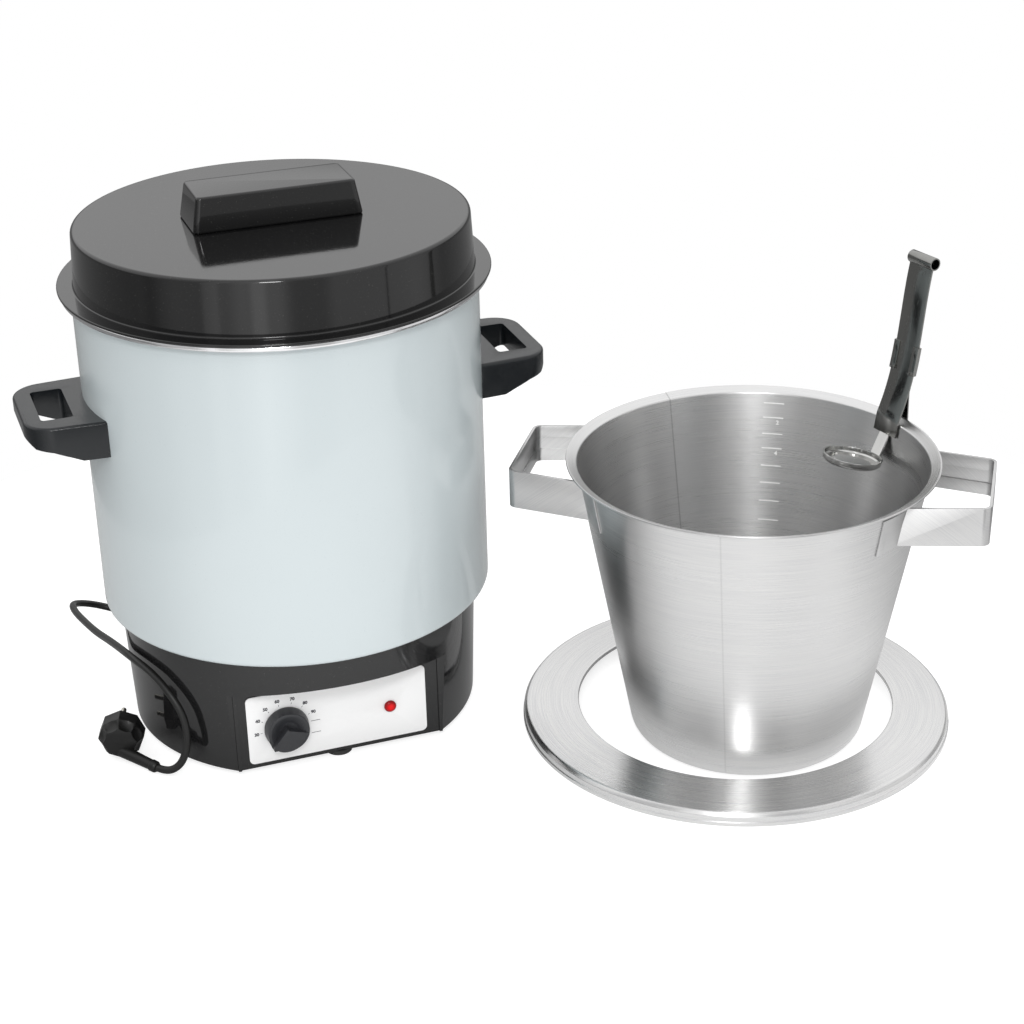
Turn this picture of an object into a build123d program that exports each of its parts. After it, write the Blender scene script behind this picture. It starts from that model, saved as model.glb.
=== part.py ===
"""Wax melter set: an enamelled electric kettle with its lid, a conical melting
vessel, the adapter ring that carries it and a strip ladle clipped to its rim.
Millimetres, +Z up, the panel side of the kettle faces -Y."""

import math
import os

from build123d import *

os.makedirs("parts", exist_ok=True)


def save(part, name):
    part.label = name
    export_step(part, f"parts/{name}.step")


# where the pieces of the set stand
KETTLE_X, KETTLE_Y = -166.0, 97.5
VESSEL_FROM_KETTLE = (368.6, -212.5)
RING_FROM_KETTLE = (367.1, -190.0)
VESSEL_TURN = -33.4
LADLE_TURN = 11.5

# enamelled tank
TANK_R = 180.0
TANK_WALL = 1.5
TANK_SEAT_Z = 124.0
TANK_TOP_Z = 426.0
TANK_FLOOR_RISE = 5.0
TANK_FLOOR_R = 150.0
TANK_FOOT_SLOPE = 4.0
TANK_CORNER = 6.0
CURL_WIDTH = 8.5
CURL_HEIGHT = 3.2
TRIM_WALL = 1.0
TRIM_HEIGHT = 5.6
TRIM_LIP = 4.5
TRIM_ROUND = 1.4

# lid
LID_OVERHANG = 11.5
LID_FLANGE_R = TANK_R + LID_OVERHANG
LID_FLANGE = 2.4
LID_SKIRT_INSET = 3.0
LID_SKIRT_R = TANK_R - LID_SKIRT_INSET
LID_DRAFT = 2.4
LID_TOP_R = LID_SKIRT_R - LID_DRAFT
LID_RISE = 51.3
LID_WALL = 2.8
LID_EDGE = 3.5
LID_SPIGOT_CLEAR = 1.5
LID_SPIGOT_R = TANK_R - TANK_WALL - LID_SPIGOT_CLEAR
LID_SPIGOT_WALL = 2.4
LID_SPIGOT_DEPTH = 12.0
LID_HANDLE_LENGTH = 151.5
LID_HANDLE_WIDTH = 63.0
LID_HANDLE_HEIGHT = 31.3
LID_HANDLE_TAPER = 5.5, 3.2
LID_HANDLE_WALL = 3.0
LID_HANDLE_CORNER = 5.0
LID_SCREW_SPACING = 100.0

# base housing
BASE_CLEAR = 4.0
BASE_TOP_R = 166.5
BASE_BOTTOM_R = 161.8
BASE_WALL = 2.6
COLLAR_LIP = 5.0
COLLAR_R = BASE_TOP_R + COLLAR_LIP
COLLAR_HEIGHT = 4.0
DECK = 3.0
DECK_HOLE_R = 128.0
PANEL_Y = 129.5
PANEL_TOP_Z = 83.0
PANEL_EAVE_RISE = 9.0
PANEL_RIB = 3.0
PANEL_RIB_DEPTH = 1.6
POST_R = 5.0
POST_PITCH_R = 146.0
POST_ANGLES = (20, 160, 214, 326)
POST_BORE = 16.0
COVER_THICK = 2.5
COVER_GAP = 0.3
COVER_DOME_R = 24.0
COVER_DOME_RISE = 8.0
FOOT_R = 12.0
FOOT_PITCH_R = 119.0
FOOT_ANGLES = (30, 150, 270)
FOOT_PLUG_R = 4.0

# control panel
FASCIA_CENTRE_X = -2.0
FASCIA_CENTRE_Z = 43.0
FASCIA_WIDTH = 168.0
FASCIA_HEIGHT = 69.0
FASCIA_THICK = 1.2
FASCIA_CORNER = 5.0
KNOB_X, KNOB_Z = -50.5, 41.5
LAMP_X, LAMP_Z = 47.5, 41.5
KNOB_R = 20.5
KNOB_SKIRT = 3.0
KNOB_BODY_R = 19.8
KNOB_HEIGHT = 9.0
KNOB_GRIP_WIDTH = 13.0
KNOB_GRIP_BACK = 5.0
KNOB_GRIP_TIP = 19.5
KNOB_GRIP_HEIGHT = 6.5
KNOB_GAP = 0.8
KNOB_OFF_ANGLE = 230.0
SHAFT_R = 3.0
SHAFT_CLEAR = 0.05
BUSH_R = 5.0
BUSH_LENGTH = 8.0
BUSH_NUT = 3.0
HOLE_CLEAR = 0.3
SHAFT_DEPTH = 8.0
SHAFT_END_GAP = 1.0
LAMP_R = 5.6
LAMP_DOME = 3.2
LAMP_BODY_R = 4.2
LAMP_BODY_LENGTH = 22.0
THERMOSTAT = (34.0, 26.0, 34.0)

# side handles
GRIP_OUT = 58.5
GRIP_REACH = TANK_R + GRIP_OUT
GRIP_HALF_WALL = 58.0
GRIP_HALF_END = 55.0
GRIP_CORNER = 27.0
GRIP_TOP_Z = 332.0
GRIP_DEPTH = 33.0
GRIP_RISE_DEPTH = 22.5
GRIP_END_DEPTH = 20.0
GRIP_TIP_DEPTH = 12.0
GRIP_SLOPE_FROM = TANK_R + 13
GRIP_SLOPE_TO = GRIP_REACH - 21
GRIP_TIP = GRIP_REACH - 7
GRIP_HOLE = (TANK_R + 15, GRIP_REACH - 15.5)
GRIP_HOLE_HALF = 35.0
GRIP_HOLE_CORNER = 3.5
GRIP_EDGE = 3.0
GRIP_SCREW_HALF = 24.0
GRIP_SCREW_DROP = 17.0

# conical vessel
VESSEL_TOP_Z = 271.4
VESSEL_TOP_R = 157.2
VESSEL_FOOT_R = 105.0
VESSEL_WALL = 1.2
VESSEL_CORNER = 17.0
VESSEL_RIM_R = VESSEL_TOP_R + 8
VESSEL_HEM = 3.0
STRAP_TOP_Z = 262.0
STRAP_WIDTH = 35.0
STRAP_THICK = 1.5
STRAP_HEM = 1.0
STRAP_HEM_WIDTH = 11.5
STRAP_REACH = VESSEL_TOP_R + 53.3
STRAP_HALF_END = 52.0
STRAP_HALF_ROOT = 0.4262 * VESSEL_TOP_R
STRAP_ROOT = 0.8143 * VESSEL_TOP_R
STRAP_CORNER = 8.0
LUG_THICK = 1.2
LUG_ANGLES = (26.6, 37.5)

# adapter ring
RING_R = 198.2
RING_HOLE_R = 146.7
RING_HEIGHT = 12.2
RING_CROWN = 3.4
RING_THICK = 1.2
RING_EDGE = 3.0
RING_HEM_R = 199.0
RING_HEM_HEIGHT = 4.0
RING_HOLE_HEM = 4.0

# strip ladle
STRIP_WIDTH = 30.0
STRIP_THICK = 1.5
STRIP_CLEAR = 1.1
STRIP_BOTTOM_Z = 256.0
STRIP_BEND_Z = 272.0
STRIP_TOP_Z = 411.0
STRIP_BOW = 36.0
STRIP_LEAN = 3.0
STRIP_STEP = 6.0
EYE_R = 5.8
EYE_WIDTH = 31.0
EYE_WALL = 1.1
EYE_OUT = 1.3
EYE_RISE = 4.8
CLIP_FROM_Z = 313.0
CLIP_TO_Z = 339.0
CLIP_LEAVES_Z = 300.0
CLIP_BOTTOM_Z = 243.0
CLIP_THICK = 1.2
CLIP_WIDTH = 26.0
CLIP_CLEAR = 0.6
CLIP_SIDE_CLEAR = 0.1
CLIP_TAB = 7.0
DISH_R = 27.5
DISH_TOP_Z = 243.0
DISH_HEIGHT = 6.5
DISH_WALL = 1.2
DISH_FROM_AXIS = VESSEL_TOP_R - 42.7
NECK_WIDTH = 12.0

# heater and fastenings
SPREADER_R = 112.0
SPREADER_THICK = 4.0
ELEMENT_R = 85.0
ELEMENT_TUBE_R = 4.0
ELEMENT_SWEEP = 320.0
ELEMENT_TAIL = 18.0
ELEMENT_PIN = 7.0
ELEMENT_GAP_AT = 250.0
CLAMP_LENGTH = 200.0
CLAMP_WIDTH = 26.0
CLAMP_THICK = 2.5
STUD_R = 4.0
NUT_R = 7.5
NUT_HEIGHT = 6.5
NUT_CLEAR = 0.05
SHIELD_R = 124.0
SHIELD_DROP = 16.0
SHIELD_THICK = 0.8
SHIELD_FLANGE = 12.0
CUTOUT_R = 8.0
CUTOUT_HEIGHT = 5.0
CUTOUT_X, CUTOUT_Y = 46.0, 30.0
BULB_R = 3.0
BULB_LENGTH = 62.0
BULB_X = -40.0
CAPILLARY_DROP_Y = -60.0
CAPILLARY_R = 1.0
SCREW_R = 2.0
SCREW_HEAD_R = 4.0
SCREW_HEAD = 2.6
TERMINAL = (44.0, 22.0, 18.0)
TERMINAL_X, TERMINAL_Y = 60.0, 84.0
TERMINAL_MID_Z = 15.5
WIRE_R = 1.3
TAB_LENGTH = 8.0
TAB_SPACING = 10.0
TAB_THICK = 0.8
TAB_WIDTH = 6.3

# mains lead
CORD_R = 3.5
GLAND_X, GLAND_Z = 24.0, 20.0
GLAND_FACE_Y = 164.0
GLAND_BOSS_R = 11.0
GLAND_BOSS = 9.0
GLAND_NUT_R = 9.0
GLAND_NUT = 7.0
GLAND_NECK_R = 6.0
GLAND_INSIDE = 3.0
RELIEF_LENGTH = 26.0
RELIEF_ROOT_R = 6.0
RELIEF_TIP_R = 4.6
COIL_CENTRE = (69.0, 252.0)
COIL_INNER_R = 33.5
COIL_PITCH = 7.6
COIL_QUARTERS = 11
COIL_TURN_BACK = 5
PLUG_AT = (-189.0, -58.0, 21.5)
PLUG_PIN_DIRECTION = (0.30, 0.95, 0.06)
PLUG_RELIEF_TIP = (-165.0, -97.0, 4.8)
PLUG_R = 21.0
PLUG_DEPTH = 23.0
PIN_R = 2.4
PIN_LENGTH = 19.0
PIN_SPACING = 19.0


def from_kettle(x, y, z=0.0):
    return Vector(KETTLE_X + x, KETTLE_Y + y, z)


def section_at(x, y, turn=0.0):
    """A vertical plane through an axis: local X runs outwards, local Y is up."""
    a = math.radians(turn)
    outwards = (math.cos(a), math.sin(a), 0)
    return Plane(origin=(x, y, 0), x_dir=outwards, z_dir=(math.sin(a), -math.cos(a), 0))


KETTLE = Plane(origin=from_kettle(0, 0))
KETTLE_AXIS = Axis(from_kettle(0, 0), (0, 0, 1))
KETTLE_SECTION = section_at(KETTLE_X, KETTLE_Y)
FRONT = Plane(origin=from_kettle(0, -PANEL_Y), x_dir=(1, 0, 0), z_dir=(0, -1, 0))
GLAND = Plane(origin=from_kettle(GLAND_X, GLAND_FACE_Y, GLAND_Z), x_dir=(-1, 0, 0), z_dir=(0, 1, 0))
VESSEL_X, VESSEL_Y = KETTLE_X + VESSEL_FROM_KETTLE[0], KETTLE_Y + VESSEL_FROM_KETTLE[1]
VESSEL = Plane(
    origin=(VESSEL_X, VESSEL_Y, 0),
    x_dir=(math.cos(math.radians(VESSEL_TURN)), math.sin(math.radians(VESSEL_TURN)), 0),
    z_dir=(0, 0, 1),
)
VESSEL_AXIS = Axis((VESSEL_X, VESSEL_Y, 0), (0, 0, 1))
VESSEL_SECTION = section_at(VESSEL_X, VESSEL_Y, VESSEL_TURN)
LADLE_SECTION = section_at(VESSEL_X, VESSEL_Y, LADLE_TURN)
RING_X, RING_Y = KETTLE_X + RING_FROM_KETTLE[0], KETTLE_Y + RING_FROM_KETTLE[1]
RING_AXIS = Axis((RING_X, RING_Y, 0), (0, 0, 1))
RING_SECTION = section_at(RING_X, RING_Y)


def outline(*points):
    """A closed face through the points, in the sketch that is open."""
    return Polygon(*points, align=None)


def around(radius, angles):
    return [(radius * math.cos(math.radians(a)), radius * math.sin(math.radians(a))) for a in angles]


def run_radii(route):
    """The largest arc that each corner's two runs allow."""
    points = [Vector(*p) for p in route]
    radii = []
    for before, here, after in zip(points, points[1:], points[2:]):
        first, second = here - before, after - here
        half_turn = math.radians(first.get_angle(second)) / 2
        radii.append(0.45 * min(first.length, second.length) / math.tan(half_turn))
    return radii


# kettle: enamelled tank, its trim and the lid
tank_floor_z = TANK_SEAT_Z + TANK_FLOOR_RISE
slope_r = TANK_FLOOR_R + TANK_FOOT_SLOPE
tank_bore = TANK_R - TANK_WALL
grip_screw_z = GRIP_TOP_Z - GRIP_SCREW_DROP
with BuildPart() as enamel_tank:
    with BuildSketch(KETTLE_SECTION):
        outline(
            (0, tank_floor_z),
            (TANK_FLOOR_R, tank_floor_z),
            (slope_r, TANK_SEAT_Z),
            (TANK_R - TANK_CORNER, TANK_SEAT_Z),
            (TANK_R - 0.3 * TANK_CORNER, TANK_SEAT_Z + 0.3 * TANK_CORNER),
            (TANK_R, TANK_SEAT_Z + TANK_CORNER),
            (TANK_R, TANK_TOP_Z),
            (0, TANK_TOP_Z),
        )
        with Locations((TANK_R, TANK_TOP_Z - CURL_HEIGHT / 2)):
            RectangleRounded(2 * CURL_WIDTH, CURL_HEIGHT, 1.2)
    revolve(axis=KETTLE_AXIS)
    with BuildSketch(KETTLE_SECTION):
        outline(
            (0, tank_floor_z + TANK_WALL),
            (TANK_FLOOR_R, tank_floor_z + TANK_WALL),
            (slope_r, TANK_SEAT_Z + TANK_WALL),
            (TANK_R - TANK_CORNER, TANK_SEAT_Z + TANK_WALL),
            (tank_bore, TANK_SEAT_Z + TANK_CORNER),
            (tank_bore, TANK_TOP_Z + 1),
            (0, TANK_TOP_Z + 1),
        )
    revolve(axis=KETTLE_AXIS, mode=Mode.SUBTRACT)
    with BuildSketch(Plane(from_kettle(0, 0, grip_screw_z), x_dir=(0, 1, 0), z_dir=(1, 0, 0))):
        with Locations((-GRIP_SCREW_HALF, 0), (GRIP_SCREW_HALF, 0)):
            Circle(SCREW_R + HOLE_CLEAR)
    extrude(amount=TANK_R + 1, both=True, mode=Mode.SUBTRACT)
save(enamel_tank.part, "enamel_tank")

trim_r = TANK_R + CURL_WIDTH + TRIM_WALL
lid_z = TANK_TOP_Z + TRIM_WALL
with BuildPart() as rim_trim:
    with BuildSketch(KETTLE_SECTION) as trim_profile:
        outline(
            (tank_bore, lid_z),
            (trim_r, lid_z),
            (trim_r, lid_z - TRIM_HEIGHT),
            (trim_r - TRIM_LIP, lid_z - TRIM_HEIGHT),
            (trim_r - TRIM_LIP, lid_z - TRIM_HEIGHT + TRIM_WALL),
            (TANK_R + CURL_WIDTH, lid_z - TRIM_HEIGHT + TRIM_WALL),
            (TANK_R + CURL_WIDTH, TANK_TOP_Z),
            (tank_bore, TANK_TOP_Z),
        )
        fillet(trim_profile.vertices().sort_by(Axis.X)[-2:], TRIM_ROUND)
    revolve(axis=KETTLE_AXIS)
save(rim_trim.part, "rim_trim")

lid_top_z = lid_z + LID_RISE
flange_top_z = lid_z + LID_FLANGE
spigot_inner = LID_SPIGOT_R - LID_SPIGOT_WALL
with BuildPart() as lid_shell:
    with BuildSketch(KETTLE_SECTION):
        outline(
            (0, lid_top_z),
            (LID_TOP_R - LID_EDGE, lid_top_z),
            (LID_TOP_R - 0.3 * LID_EDGE, lid_top_z - 0.3 * LID_EDGE),
            (LID_TOP_R, lid_top_z - LID_EDGE),
            (LID_SKIRT_R, flange_top_z),
            (LID_FLANGE_R - 1, flange_top_z),
            (LID_FLANGE_R, flange_top_z - 1),
            (LID_FLANGE_R, lid_z),
            (LID_SPIGOT_R, lid_z),
            (LID_SPIGOT_R, lid_z - LID_SPIGOT_DEPTH),
            (spigot_inner, lid_z - LID_SPIGOT_DEPTH),
            (spigot_inner, lid_z),
            (LID_SKIRT_R - LID_WALL, lid_z),
            (LID_TOP_R - LID_WALL - 1, lid_top_z - LID_WALL - 2),
            (LID_TOP_R - LID_WALL - 4, lid_top_z - LID_WALL),
            (0, lid_top_z - LID_WALL),
        )
    revolve(axis=KETTLE_AXIS)
    with BuildSketch(KETTLE.offset(lid_top_z)):
        with GridLocations(LID_SCREW_SPACING, 1, 2, 1):
            Circle(SCREW_R + HOLE_CLEAR)
    extrude(amount=-LID_WALL, mode=Mode.SUBTRACT)
save(lid_shell.part, "lid_shell")

handle_foot = (LID_HANDLE_LENGTH, LID_HANDLE_WIDTH)
handle_top = [size - 2 * taper for size, taper in zip(handle_foot, LID_HANDLE_TAPER)]
both_walls = 2 * LID_HANDLE_WALL
with BuildPart() as lid_handle:
    with BuildSketch(KETTLE.offset(lid_top_z)):
        RectangleRounded(*handle_foot, LID_HANDLE_CORNER)
    with BuildSketch(KETTLE.offset(lid_top_z + LID_HANDLE_HEIGHT)):
        RectangleRounded(*handle_top, LID_HANDLE_CORNER)
    loft()
    fillet(lid_handle.faces().sort_by(Axis.Z)[-1].edges(), 2.5)
    with BuildSketch(KETTLE.offset(lid_top_z)):
        RectangleRounded(*[size - both_walls for size in handle_foot], LID_HANDLE_CORNER - 2)
    with BuildSketch(KETTLE.offset(lid_top_z + LID_HANDLE_HEIGHT - LID_HANDLE_WALL)):
        RectangleRounded(*[size - both_walls for size in handle_top], LID_HANDLE_CORNER - 2)
    loft(mode=Mode.SUBTRACT)
    with BuildSketch(KETTLE.offset(lid_top_z)):
        with GridLocations(LID_SCREW_SPACING, 1, 2, 1):
            Circle(2.2 * SCREW_R)
    extrude(amount=LID_HANDLE_HEIGHT - LID_HANDLE_WALL)
    with BuildSketch(KETTLE.offset(lid_top_z)):
        with GridLocations(LID_SCREW_SPACING, 1, 2, 1):
            Circle(SCREW_R + SHAFT_CLEAR)
    extrude(amount=LID_HANDLE_HEIGHT / 2, mode=Mode.SUBTRACT)
save(lid_handle.part, "lid_handle")

with BuildPart() as lid_screws:
    with BuildSketch(KETTLE.offset(lid_top_z - LID_WALL)):
        with GridLocations(LID_SCREW_SPACING, 1, 2, 1):
            Circle(SCREW_HEAD_R)
    extrude(amount=-SCREW_HEAD)
    with BuildSketch(KETTLE.offset(lid_top_z - LID_WALL)):
        with GridLocations(LID_SCREW_SPACING, 1, 2, 1):
            Circle(SCREW_R)
    extrude(amount=LID_WALL + LID_HANDLE_HEIGHT / 2 - 1)
save(lid_screws.part, "lid_screws")

# kettle: side handles
for side, hand in (("left", -1), ("right", 1)):
    with BuildPart() as side_handle:
        with BuildSketch(KETTLE.offset(GRIP_TOP_Z - GRIP_DEPTH)):
            outline(
                (hand * (TANK_R - 12), GRIP_HALF_WALL + 1),
                (hand * (TANK_R - 6), GRIP_HALF_WALL + 1),
                (hand * GRIP_REACH, GRIP_HALF_END),
                (hand * GRIP_REACH, -GRIP_HALF_END),
                (hand * (TANK_R - 6), -GRIP_HALF_WALL - 1),
                (hand * (TANK_R - 12), -GRIP_HALF_WALL - 1),
            )
        extrude(amount=GRIP_DEPTH)
        uprights = side_handle.edges().filter_by(Axis.Z)
        outer = uprights.filter_by(lambda e: abs(e.center().X - KETTLE_X) > GRIP_REACH - 1)
        fillet(outer, GRIP_CORNER)
        fillet(side_handle.faces().sort_by(Axis.Z)[-1].edges(), GRIP_EDGE)
        with BuildSketch(Plane(from_kettle(0, 0), x_dir=(hand, 0, 0), z_dir=(0, -hand, 0))):
            outline(
                (GRIP_SLOPE_FROM, GRIP_TOP_Z - GRIP_DEPTH - 1),
                (GRIP_SLOPE_FROM, GRIP_TOP_Z - GRIP_DEPTH),
                (GRIP_SLOPE_TO, GRIP_TOP_Z - GRIP_RISE_DEPTH),
                (GRIP_TIP, GRIP_TOP_Z - GRIP_END_DEPTH),
                (GRIP_REACH + 1, GRIP_TOP_Z - GRIP_TIP_DEPTH),
                (GRIP_REACH + 1, GRIP_TOP_Z - GRIP_DEPTH - 1),
            )
        extrude(amount=GRIP_HALF_WALL + 5, both=True, mode=Mode.SUBTRACT)
        with BuildSketch(KETTLE.offset(GRIP_TOP_Z - GRIP_DEPTH)):
            with Locations((hand * (GRIP_HOLE[0] + GRIP_HOLE[1]) / 2, 0)):
                RectangleRounded(GRIP_HOLE[1] - GRIP_HOLE[0], 2 * GRIP_HOLE_HALF, GRIP_HOLE_CORNER)
        extrude(amount=GRIP_DEPTH, mode=Mode.SUBTRACT)
        with BuildSketch(KETTLE.offset(GRIP_TOP_Z - GRIP_DEPTH)):
            Circle(TANK_R)
        extrude(amount=GRIP_DEPTH, mode=Mode.SUBTRACT)
        with BuildSketch(Plane(from_kettle(0, 0, grip_screw_z), x_dir=(0, 1, 0), z_dir=(hand, 0, 0))):
            with Locations((-GRIP_SCREW_HALF, 0), (GRIP_SCREW_HALF, 0)):
                Circle(SCREW_R + SHAFT_CLEAR)
        extrude(amount=GRIP_HOLE[0] - 3, mode=Mode.SUBTRACT)
    save(side_handle.part, f"side_handle_{side}")

screw_seat = math.sqrt(tank_bore**2 - (GRIP_SCREW_HALF + SCREW_HEAD_R) ** 2)
with BuildPart() as side_screws:
    for hand in (-1, 1):
        seat = from_kettle(hand * screw_seat, 0, grip_screw_z)
        inner = Plane(seat, x_dir=(0, 1, 0), z_dir=(hand, 0, 0))
        with BuildSketch(inner):
            with Locations((-GRIP_SCREW_HALF, 0), (GRIP_SCREW_HALF, 0)):
                Circle(SCREW_HEAD_R)
        extrude(amount=-SCREW_HEAD)
        with BuildSketch(inner):
            with Locations((-GRIP_SCREW_HALF, 0), (GRIP_SCREW_HALF, 0)):
                Circle(SCREW_R)
        extrude(amount=GRIP_HOLE[0] - 4 - screw_seat)
save(side_screws.part, "side_screws")

# kettle: base housing with its flat panel front
deck_z = TANK_SEAT_Z - DECK
collar_z = TANK_SEAT_Z - COLLAR_HEIGHT
inner_top_r = BASE_TOP_R - BASE_WALL
inner_bottom_r = BASE_BOTTOM_R - BASE_WALL
ACROSS = Plane(origin=from_kettle(-COLLAR_R - 5, 0), x_dir=(0, 1, 0), z_dir=(1, 0, 0))
FULL_WIDTH = 2 * (COLLAR_R + 5)
with BuildPart() as base_cavity:
    with BuildSketch(KETTLE_SECTION):
        outline(
            (0, 0),
            (inner_bottom_r, 0),
            (inner_bottom_r, BASE_CLEAR),
            (inner_top_r, deck_z),
            (0, deck_z),
        )
    revolve(axis=KETTLE_AXIS)
    with BuildSketch(ACROSS):
        outline(
            (BASE_WALL - PANEL_Y, -1),
            (BASE_WALL - PANEL_Y, PANEL_TOP_Z + 0.6 * BASE_WALL),
            (-inner_top_r, PANEL_TOP_Z + PANEL_EAVE_RISE + BASE_WALL),
            (-COLLAR_R - 5, PANEL_TOP_Z + PANEL_EAVE_RISE + BASE_WALL),
            (-COLLAR_R - 5, -1),
        )
    extrude(amount=FULL_WIDTH, mode=Mode.SUBTRACT)

with BuildPart() as base_housing:
    with BuildSketch(KETTLE_SECTION):
        outline(
            (0, BASE_CLEAR),
            (BASE_BOTTOM_R, BASE_CLEAR),
            (BASE_TOP_R, collar_z),
            (COLLAR_R, collar_z + 1),
            (COLLAR_R, TANK_SEAT_Z - 1.2),
            (COLLAR_R - 1.5, TANK_SEAT_Z),
            (0, TANK_SEAT_Z),
        )
    revolve(axis=KETTLE_AXIS)
    with BuildSketch(ACROSS):
        outline(
            (-PANEL_Y, -1),
            (-PANEL_Y, PANEL_TOP_Z),
            (-BASE_TOP_R, PANEL_TOP_Z + PANEL_EAVE_RISE),
            (-COLLAR_R - 5, PANEL_TOP_Z + PANEL_EAVE_RISE),
            (-COLLAR_R - 5, -1),
        )
    extrude(amount=FULL_WIDTH, mode=Mode.SUBTRACT)
    chord = math.sqrt(BASE_BOTTOM_R**2 - PANEL_Y**2)
    with BuildSketch(FRONT):
        with Locations((0, (BASE_CLEAR + PANEL_TOP_Z) / 2)):
            with GridLocations(2 * (chord - PANEL_RIB / 2), 1, 2, 1):
                Rectangle(PANEL_RIB, PANEL_TOP_Z - BASE_CLEAR)
    extrude(amount=PANEL_RIB_DEPTH)
    add(base_cavity.part, mode=Mode.SUBTRACT)
    with BuildSketch(KETTLE.offset(deck_z)):
        Circle(DECK_HOLE_R)
    extrude(amount=DECK + 1, mode=Mode.SUBTRACT)
    with BuildSketch(KETTLE.offset(BASE_CLEAR + COVER_THICK)):
        with Locations(*around(POST_PITCH_R, POST_ANGLES)):
            Circle(POST_R)
    extrude(amount=deck_z - BASE_CLEAR - COVER_THICK)
    with BuildSketch(KETTLE.offset(BASE_CLEAR + COVER_THICK)):
        with Locations(*around(POST_PITCH_R, POST_ANGLES)):
            Circle(SCREW_R + SHAFT_CLEAR)
    extrude(amount=POST_BORE, mode=Mode.SUBTRACT)
    with BuildSketch(FRONT):
        with Locations((KNOB_X, KNOB_Z)):
            Circle(BUSH_R + HOLE_CLEAR)
        with Locations((LAMP_X, LAMP_Z)):
            Circle(LAMP_BODY_R + HOLE_CLEAR)
    extrude(amount=-BASE_WALL, mode=Mode.SUBTRACT)
    with BuildSketch(GLAND):
        Circle(GLAND_BOSS_R)
    extrude(amount=-GLAND_BOSS)
    with BuildSketch(GLAND):
        Circle(GLAND_NECK_R + SHAFT_CLEAR)
    extrude(amount=-GLAND_BOSS - 1, mode=Mode.SUBTRACT)
save(base_housing.part, "base_housing")

# kettle: bottom cover, screws and feet
cover_top_z = BASE_CLEAR + COVER_THICK
cover_r = inner_bottom_r - COVER_GAP
dome_top_z = cover_top_z + COVER_DOME_RISE
with BuildPart() as bottom_cover:
    with BuildSketch(KETTLE_SECTION):
        outline(
            (STUD_R + HOLE_CLEAR, dome_top_z),
            (COVER_DOME_R - 4, dome_top_z),
            (COVER_DOME_R, cover_top_z),
            (cover_r, cover_top_z),
            (cover_r, BASE_CLEAR),
            (COVER_DOME_R - COVER_THICK, BASE_CLEAR),
            (COVER_DOME_R - 4 - COVER_THICK, dome_top_z - COVER_THICK),
            (STUD_R + HOLE_CLEAR, dome_top_z - COVER_THICK),
        )
    revolve(axis=KETTLE_AXIS)
    with BuildSketch(KETTLE.offset(BASE_CLEAR)):
        with Locations((0, -cover_r)):
            Rectangle(2 * cover_r, 2 * (cover_r - PANEL_Y + BASE_WALL + COVER_GAP))
        with Locations(*around(POST_PITCH_R, POST_ANGLES)):
            Circle(SCREW_R + HOLE_CLEAR)
        with Locations(*around(FOOT_PITCH_R, FOOT_ANGLES)):
            Circle(FOOT_PLUG_R)
        with PolarLocations(88, 24):
            SlotOverall(18, 4)
    extrude(amount=COVER_THICK, mode=Mode.SUBTRACT)
save(bottom_cover.part, "bottom_cover")

with BuildPart() as cover_screws:
    with BuildSketch(KETTLE.offset(BASE_CLEAR)):
        with Locations(*around(POST_PITCH_R, POST_ANGLES)):
            Circle(SCREW_HEAD_R)
    extrude(amount=-SCREW_HEAD)
    with BuildSketch(KETTLE.offset(BASE_CLEAR)):
        with Locations(*around(POST_PITCH_R, POST_ANGLES)):
            Circle(SCREW_R)
    extrude(amount=POST_BORE - 1)
save(cover_screws.part, "cover_screws")

with BuildPart() as feet:
    with BuildSketch(KETTLE):
        with Locations(*around(FOOT_PITCH_R, FOOT_ANGLES)):
            Circle(FOOT_R)
    extrude(amount=BASE_CLEAR)
    with BuildSketch(KETTLE.offset(BASE_CLEAR)):
        with Locations(*around(FOOT_PITCH_R, FOOT_ANGLES)):
            Circle(FOOT_PLUG_R)
    extrude(amount=COVER_THICK + 1.5)
save(feet.part, "feet")

# kettle: control panel
panel_inner = FRONT.offset(-BASE_WALL)
fascia_face = FRONT.offset(FASCIA_THICK)
with BuildPart() as fascia:
    with BuildSketch(FRONT):
        with Locations((FASCIA_CENTRE_X, FASCIA_CENTRE_Z)):
            RectangleRounded(FASCIA_WIDTH, FASCIA_HEIGHT, FASCIA_CORNER)
        with Locations((KNOB_X, KNOB_Z)):
            Circle(BUSH_R + HOLE_CLEAR, mode=Mode.SUBTRACT)
        with Locations((LAMP_X, LAMP_Z)):
            Circle(LAMP_BODY_R + HOLE_CLEAR, mode=Mode.SUBTRACT)
    extrude(amount=FASCIA_THICK)
save(fascia.part, "fascia")

with BuildPart() as thermostat:
    with BuildSketch(panel_inner):
        with Locations((KNOB_X, KNOB_Z)):
            RectangleRounded(THERMOSTAT[0], THERMOSTAT[2], 3)
    extrude(amount=-THERMOSTAT[1])
    with BuildSketch(panel_inner):
        with Locations((KNOB_X, KNOB_Z)):
            Circle(BUSH_R)
    extrude(amount=BUSH_LENGTH)
    with BuildSketch(panel_inner.offset(BUSH_LENGTH)):
        with Locations((KNOB_X, KNOB_Z)):
            Circle(SHAFT_R + SHAFT_CLEAR)
    extrude(amount=-BUSH_LENGTH - SHAFT_DEPTH, mode=Mode.SUBTRACT)
    with BuildSketch(panel_inner.offset(-THERMOSTAT[1])):
        with Locations((KNOB_X, KNOB_Z)):
            with GridLocations(12, 16, 2, 2):
                Rectangle(TAB_THICK, TAB_WIDTH)
    extrude(amount=-TAB_LENGTH)
save(thermostat.part, "thermostat")

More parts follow.
